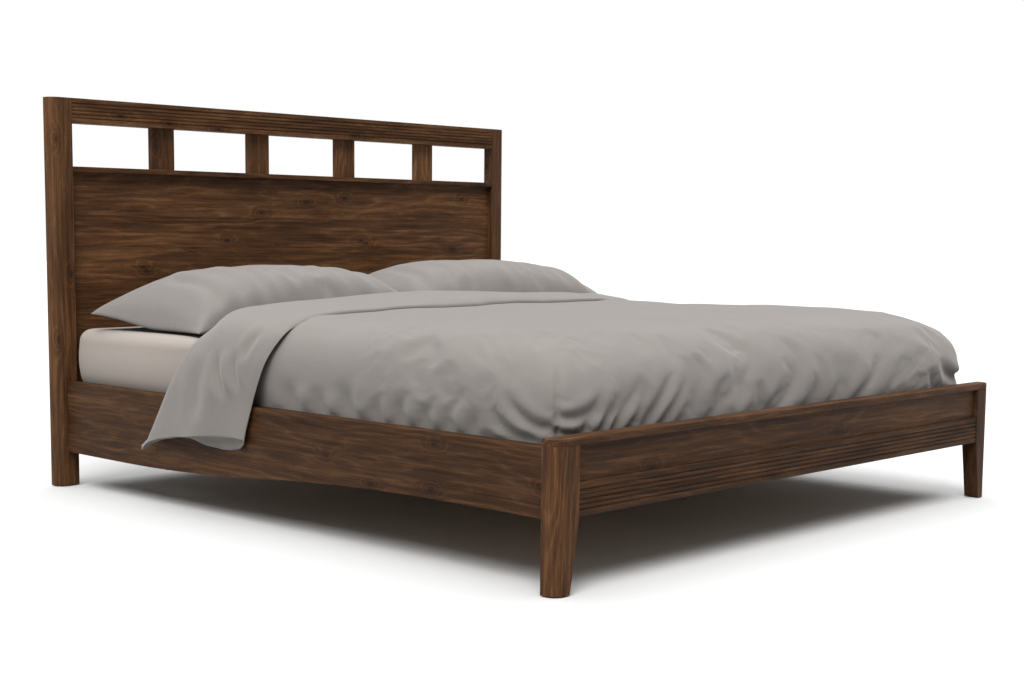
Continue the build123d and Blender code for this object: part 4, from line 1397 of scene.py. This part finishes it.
    def build(self) -> bpy.types.Object:
        """Make the folded band and its hanging end.

        Returns:
            The closed, padded piece.
        """
        lane = even(list(self.path), self.rows)
        s = np.linspace(0.0, 1.0, self.rows)[:, None]
        w = 0.5 - 0.5 * np.cos(np.linspace(0.0, math.pi, self.columns))[None, :]
        hang = smooth(self.hang_from, self.hang_full, lane[:, 0])[:, None]
        right = smooth(self.right_from, self.right_full, lane[:, 0])[:, None]
        run = np.gradient(lane[:, :2], axis=0)
        run /= np.linalg.norm(run, axis=1, keepdims=True)
        out = np.stack([-run[:, 1], run[:, 0]], axis=1) * -1.0
        out = np.where(out[self.rows // 2, 1] < 0, -out, out)
        front, back = lane[:, 2][:, None], lane[:, 3][:, None]
        wavy = sum(tall * np.sin(pace * lane[:, :1]) for tall, pace in self.hem_waves)
        front = front + (1.0 - hang) * wavy
        wide = back - front
        lift, reach = self.section(w, (1.0 - hang) * (1.0 - right))
        y = front + wide * reach
        swell = self.swell * np.sin(5.0 * y + 6.0 * lane[:, :1]) * (1.0 - hang)
        lift = lift + swell + self.creases(lane, y, hang)
        flat_top = smooth(self.settle_from, self.settle_full, np.abs(lane[:, :1]))
        cover = self.body.top(lane[:, :1], front)
        settle = cover + self.hem_clearance - lane[:, 1:2] - lift[:, :1]
        lift = lift + settle * flat_top * smooth(self.hem_width, 0.0, w)
        over = np.stack([lane[:, :1] + out[:, :1] * lift, y, lane[:, 1:2] + out[:, 1:2] * lift], axis=-1)
        edge = np.sqrt(np.maximum(1.0 - np.abs(2.0 * w - 1.0) ** self.edge_power, 0.0))
        body = (self.thin + self.thicker * smooth(0.1, 0.8, w)) * (1.0 - hang)
        body = body * (1.0 - self.right_thinning * right) + self.hanging_thick * hang
        low = smooth(self.lobe_from, 1.0, s)
        body = body * (1.0 + self.lobe_swell * low * bump(w, self.lobe_at, self.lobe_width))
        face = normals(over)
        face = face * np.sign(face[self.rows // 2, self.columns // 3, 2])
        under = over - face * (body * edge)[..., None]
        self.hem(over, under, w, s)
        self.rest(under)
        pocket = 0.5 * (over[-1] + under[-1]) + np.array([0.0, 0.0, self.pocket_depth])
        points = np.concatenate([over.reshape(-1, 3), under.reshape(-1, 3), pocket]) + bed_datum()
        reach_s = np.cumsum(np.concatenate([[0.0], np.linalg.norm(np.diff(lane[:, :2], axis=0), axis=1)]))
        flat = np.stack([np.broadcast_to(reach_s[:, None], y.shape), y], axis=-1).reshape(-1, 2)
        flat = np.concatenate([flat, flat, flat[-self.columns:]])
        piece = build_mesh("duvet_turn_back", points, self.shell(), flat, DUVET_CLOTH.material(), 1)
        return finish_cloth(piece, "duvet")

    def rest(self, under: Array) -> None:
        """Keep the underside on top of the duvet and outside the left rail.

        Args:
            under: the underside's points about the bed's datum, changed in place.
        """
        x, y, z = under[..., 0], under[..., 1], under[..., 2]
        cover = self.body.top(x, y) + self.clearance
        on_cover = (np.abs(x) < self.body.half + self.rim_reach) & (y < self.body.head - self.closing_reach)
        under[..., 2] = np.where(on_cover, np.maximum(z, cover), z)
        rail_low, rail_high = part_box("side_rail_left")
        datum = bed_datum()
        outside = rail_low[0] - datum[0] - self.rail_clearance
        beside = (x < -self.body.half) & (under[..., 2] < rail_high[2] - datum[2] + self.rail_clearance)
        under[..., 0] = np.where(beside, np.minimum(x, outside), x)

    def creases(self, lane: Array, y: Array, hang: Array) -> Array:
        """Diagonal creases where the cloth turns down, and soft waves in the hanging end.

        Args:
            lane: each row's place across the bed and its height.
            y: each point's place along the bed.
            hang: for each row, how far it belongs to the hanging end, from 0 to 1.

        Returns:
            How far each point is lifted.
        """
        x = np.broadcast_to(lane[:, :1], y.shape)
        z = np.broadcast_to(lane[:, 1:2], y.shape)
        total = np.zeros(y.shape)
        for line, deep, wide in self.corner_creases:
            samples = even(list(line), self.crease_samples)
            gap = np.full(y.shape, FAR_OFF)
            share = np.zeros(y.shape)
            for number, (at_y, at_z) in enumerate(samples):
                distance = np.hypot(y - at_y, z - at_z)
                share = np.where(distance < gap, number / (len(samples) - 1), share)
                gap = np.minimum(gap, distance)
            fade = smooth(0.0, 0.4, share) * (1.0 - smooth(0.6, 1.0, share))
            lip = 0.5 * np.exp(-((gap - 2.2 * wide) / wide) ** 2)
            total -= deep * fade * (np.exp(-(gap / wide) ** 2) - lip)
        total *= x < -0.6
        wave = self.hang_wave * np.sin(26.0 * y + 9.0 * z + 3.07) * smooth(-0.035, -0.205, z)
        return total + wave * hang

    def hem(self, over: Array, under: Array, w: Array, s: Array) -> None:
        """Let the hanging end's hem down to a point at the back and a rolled lobe in front.

        Args:
            over: the upper sheet's points, changed in place.
            under: the lower sheet's points, changed in place.
            w: each column's share of the band's width.
            s: each row's share of the band's length.
        """
        line = np.array([0.000, 0.08, 0.18, 0.26, 0.40, 0.50, 0.56, 0.68, 0.84, 0.93, 1.0])
        drop_out = np.interp(w[0], line, [-0.006, -0.010, -0.009, -0.007, -0.001, 0.005, 0.009, 0.013, 0.026,
                                          0.042, 0.066])
        drop_in = np.interp(w[0], line, [0.002, 0.019, 0.030, 0.033, 0.026, 0.014, 0.010, 0.013, 0.026,
                                         0.042, 0.066])
        share = smooth(self.drop_from, 1.0, s)
        over[..., 2] -= share * drop_out[None]
        under[..., 2] -= share * drop_in[None]
        tip = share * smooth(self.tip_from, 1.0, w) * self.tip_reach
        over[..., 1] += tip
        under[..., 1] += tip


@dataclass
class Pillow:
    """A wide pillow sewn from two sheets with pointed corners, resting on the mattress.

    It lies `shift` off the middle of its CAD box, turned by `turn` degrees, and is pressed flat where
    it meets its neighbour, `contact` to the right of the middle between the two boxes.
    """

    node: str
    shift: tuple[float, float]
    size: tuple[float, float] = (0.98, 0.51)
    turn: float = 0.0
    phase: float = 0.0
    thick: float = 0.068
    corner_lift: float = 0.0
    end_lift: float = 0.0
    waist: float = 0.030
    contact: float = 0.043
    press: float = 0.012
    touch_gap: float = 0.0005
    seam_drop: float = 0.4
    mattress_gap: float = 0.002
    ripple: float = 0.006
    fullness: tuple[int, int] = (6, 4)
    waist_from: float = 0.5
    end_from: float = 0.76
    corner_from: float = 0.72
    fill: float = 0.6
    creases: tuple[tuple[float, float, float, float, float], ...] = ()
    sag: float = 0.76
    step: float = 0.011
    loft: ClothRun = ClothRun(pressure=0.65, frames=24, cap=0.028, grow=0.02, tension=25.0, bending=0.5)

    def build(self) -> bpy.types.Object:
        """Sew, fill and lay the pillow.

        Returns:
            The closed, padded piece.
        """
        wide, deep = self.size
        columns, rows = int(wide / self.step), int(deep / self.step)
        u, v = np.meshgrid(np.linspace(-1.0, 1.0, columns), np.linspace(-1.0, 1.0, rows))
        bulk = self.thick * (1.0 - u ** self.fullness[0]) * (1.0 - v ** self.fullness[1])
        ripple = self.ripple * np.sin(9.0 * u + self.phase) * np.sin(5.0 * v + 2.0 * self.phase)
        ripple = ripple * (1.0 - u ** 2)
        sheet_x, sheet_y = u * wide / 2, v * deep / 2
        top = np.stack([sheet_x, sheet_y, bulk + ripple], axis=-1).reshape(-1, 3)
        low = np.stack([sheet_x, sheet_y, -bulk + ripple], axis=-1)
        loop = border(rows, columns)
        number = np.full(rows * columns, -1)
        number[loop] = loop
        inside = np.nonzero(number < 0)[0]
        number[inside] = rows * columns + np.arange(len(inside))
        points = np.concatenate([top, low.reshape(-1, 3)[inside]])
        faces = [grid_faces(rows, columns), number[grid_faces(rows, columns, flip=True)]]
        flat = np.stack([sheet_x, sheet_y], -1).reshape(-1, 2)
        piece = build_mesh(self.node + "_case", points, faces, np.concatenate([flat, flat[inside]]),
                           PILLOW_CLOTH.material(), 1)
        self.loft.run(piece)
        self.lay(piece, number.reshape(-1))
        return finish_cloth(piece, self.node)

    def tucks(self, points: Array) -> Array:
        """Soft creases running up from the front seam, each a valley between two lower ridges.

        Args:
            points: the upper sheet's points, about the pillow's middle.

        Returns:
            How far each point rises.
        """
        u = points[:, 0] / np.abs(points[:, 0]).max()
        v = points[:, 1] / np.abs(points[:, 1]).max()
        rise = np.zeros(len(points))
        for place, lean, deep, wide, top in self.creases:
            line = u - place - lean * (v + 0.9)
            span = smooth(-1.0, -0.72, v) * (1.0 - smooth(top - 0.45, top, v))
            ridge = 0.55 * np.exp(-((line - 2.0 * wide) / wide) ** 2)
            other = 0.35 * np.exp(-((line + 2.0 * wide) / wide) ** 2)
            rise += deep * span * (-np.exp(-(line / wide) ** 2) + ridge + other)
        return rise

    def lay(self, piece: bpy.types.Object, partner: Array) -> None:
        """Set the filled pillow down on the mattress, flat underneath, and stop it at its neighbour.

        Args:
            piece: the pillow, filled about its own middle.
            partner: for each point of the upper sheet the number of the point below it.
        """
        points = read_points(piece.data)
        upper = np.arange(len(partner))
        low, high = points[partner, 2], points[upper, 2]
        thickness = (high - low) / 2
        middle = (high + low) / 2 * self.seam_drop
        heights = points[:, 2].copy()
        heights[upper] = middle + thickness * (1.0 + self.sag) + self.tucks(points[upper])
        heights[partner] = np.where(partner == upper, middle, middle - thickness * (1.0 - self.sag))
        turn = math.radians(self.turn)
        end_share = smooth(self.waist_from, 1.0, np.abs(points[:, 0]) / points[:, 0].max())
        drawn = self.waist * end_share * (1.0 - (points[:, 1] / points[:, 1].max()) ** 2)
        along = points[:, 0] - np.sign(points[:, 0]) * drawn
        x = along * math.cos(turn) - points[:, 1] * math.sin(turn)
        y = along * math.sin(turn) + points[:, 1] * math.cos(turn)
        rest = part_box("mattress")[1][2] + self.mattress_gap
        out = -points[:, 0] / points[:, 0].max()
        across = points[:, 1] / points[:, 1].max()
        back = smooth(0.0, 1.0, across)
        rise = (self.end_lift * smooth(self.end_from, 1.0, out)
                + self.corner_lift * smooth(self.corner_from, 1.0, out) * back)
        z = heights + rest - heights.min() + rise
        block_low, block_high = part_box(self.node)
        middle_x = (block_low[0] + block_high[0]) / 2 + self.shift[0]
        middle_y = (block_low[1] + block_high[1]) / 2 + self.shift[1]
        side = -np.sign(middle_x)
        contact = (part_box("pillow_left")[1][0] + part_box("pillow_right")[0][0]) / 2 + self.contact
        past = side * (x + middle_x - contact)
        pressed = -self.press * np.logaddexp(0.0, -past / self.press)
        end = np.stack([contact + side * (pressed - self.touch_gap), y + middle_y, z], axis=1)
        piece.data.vertices.foreach_set("co", end.ravel())
        piece.data.update()


# ---- studio ---------------------------------------------------------------------------------
@dataclass(frozen=True)
class SoftLight:
    """A distant light from a wide patch of the ceiling, so the floor stays evenly lit."""

    name: str
    towards: tuple[float, float, float]
    spread: float
    strength: float

    def build(self) -> None:
        """Add the light, shining from `towards` at the origin."""
        data = bpy.data.lights.new(self.name, "SUN")
        data.angle = math.radians(self.spread)
        data.energy = self.strength
        lamp = bpy.data.objects.new(self.name, data)
        bpy.context.scene.collection.objects.link(lamp)
        lamp.location = self.towards
        lamp.rotation_euler = (-Vector(self.towards)).to_track_quat("-Z", "Y").to_euler()


@dataclass
class Studio:
    """A pale floor, soft lamps and the camera; distances in metres, angles in degrees."""

    eye: tuple[float, float, float] = (-3.4596, -3.2905, 0.7944)
    heading: float = 46.005
    tilt: float = 6.2435
    roll: float = 0.489
    lens: float = 55.30
    sensor: float = 36.0
    farthest: float = 200.0
    shift: tuple[float, float] = (0.0066, 0.0600)
    floor_size: float = 60.0
    floor_tone: float = 0.39
    floor_roughness: float = 0.9
    sky: float = 0.50
    lamps: tuple[SoftLight, ...] = (
        SoftLight("key", (-2.0, -1.3, 3.0), 34.0, 4.3),
        SoftLight("top", (0.3, 0.2, 3.0), 80.0, 4.4),
    )

    def camera(self) -> None:
        """Stand the camera at the foot's left corner, looking over the bed to the headboard."""
        data = bpy.data.cameras.new("camera")
        data.sensor_width = self.sensor
        data.lens = self.lens
        data.shift_x, data.shift_y = self.shift
        data.clip_end = self.farthest
        camera = bpy.data.objects.new("camera", data)
        bpy.context.scene.collection.objects.link(camera)
        turn = Matrix.Rotation(math.radians(-self.heading), 4, "Z")
        pitch = Matrix.Rotation(math.radians(90.0 - self.tilt), 4, "X")
        roll = Matrix.Rotation(math.radians(self.roll), 4, "Z")
        camera.matrix_world = Matrix.Translation(self.eye) @ turn @ pitch @ roll
        bpy.context.scene.camera = camera

    def floor(self) -> None:
        """Lay the plain pale floor."""
        half = self.floor_size / 2
        mesh = bpy.data.meshes.new("floor")
        corners = [(-half, -half, 0), (half, -half, 0), (half, half, 0), (-half, half, 0)]
        mesh.from_pydata(corners, [], [(0, 1, 2, 3)])
        floor = bpy.data.objects.new("floor", mesh)
        bpy.context.scene.collection.objects.link(floor)
        material, _, surface = new_material("floor")
        surface.inputs["Base Color"].default_value = (*(self.floor_tone,) * 3, 1.0)
        surface.inputs["Roughness"].default_value = self.floor_roughness
        mesh.materials.append(material)

    def air(self) -> None:
        """Light everything softly from a white sky."""
        world = bpy.data.worlds.new("air")
        world.use_nodes = True
        s = Shader(world.node_tree)
        background = s.add("Background")
        background.inputs[0].default_value = (1.0, 1.0, 1.0, 1.0)
        seen = s.remap(s.add("LightPath").outputs["Is Camera Ray"], 0.0, 1.0, self.sky, 1.0)
        s.join(seen, background.inputs[1])
        s.join(background.outputs[0], s.add("OutputWorld").inputs[0])
        bpy.context.scene.world = world

    def build(self) -> None:
        """Set the whole studio up, with plain display colours."""
        self.camera()
        self.floor()
        self.air()
        for lamp in self.lamps:
            lamp.build()
        bpy.context.scene.view_settings.view_transform = "Standard"


# Each crease: place along the pillow, lean, depth, width and how far back it reaches.
LEFT_CREASES = (
    (-0.80, 0.10, 0.010, 0.045, 0.60), (-0.60, 0.16, 0.008, 0.040, 0.35), (-0.42, 0.12, 0.008, 0.028, 0.10),
    (-0.28, 0.10, 0.007, 0.026, 0.00), (-0.12, 0.06, 0.006, 0.030, -0.05), (0.10, 0.08, 0.006, 0.035, 0.05),
    (0.36, -0.10, 0.005, 0.040, 0.10), (0.58, -0.12, 0.005, 0.045, 0.15), (0.80, -0.14, 0.005, 0.045, 0.20))
RIGHT_CREASES = (
    (-0.78, 0.12, 0.008, 0.040, 0.50), (-0.55, 0.14, 0.008, 0.032, 0.30), (-0.35, 0.08, 0.006, 0.030, 0.10),
    (0.05, 0.05, 0.006, 0.035, 0.00), (0.32, -0.08, 0.006, 0.038, 0.10), (0.60, -0.12, 0.006, 0.040, 0.20),
    (0.82, -0.10, 0.007, 0.045, 0.30))


def main() -> None:
    """Build the studio, dress every piece and build the bedding, logging each dressed node and each built
    piece's vertex count.
    """
    logging.basicConfig(level=logging.INFO, format="%(name)s: %(message)s")
    Studio().build()
    for node in BedFrame().dress():
        LOG.info("dressed %s", node)
    cover = DuvetBody()
    bedding = (Mattress(), cover, TurnBack(cover),
               Pillow("pillow_left", (0.050, -0.074), phase=0.4, turn=4.0, corner_lift=0.036,
                      end_lift=-0.014, waist=0.045, creases=LEFT_CREASES),
               Pillow("pillow_right", (0.030, -0.074), phase=2.1, turn=-2.0, thick=0.074, end_lift=0.006,
                      creases=RIGHT_CREASES))
    for part in bedding:
        piece = part.build()
        LOG.info("built %s with %d vertices", piece.name, len(piece.data.vertices))


if __name__ == "__main__":
    main()
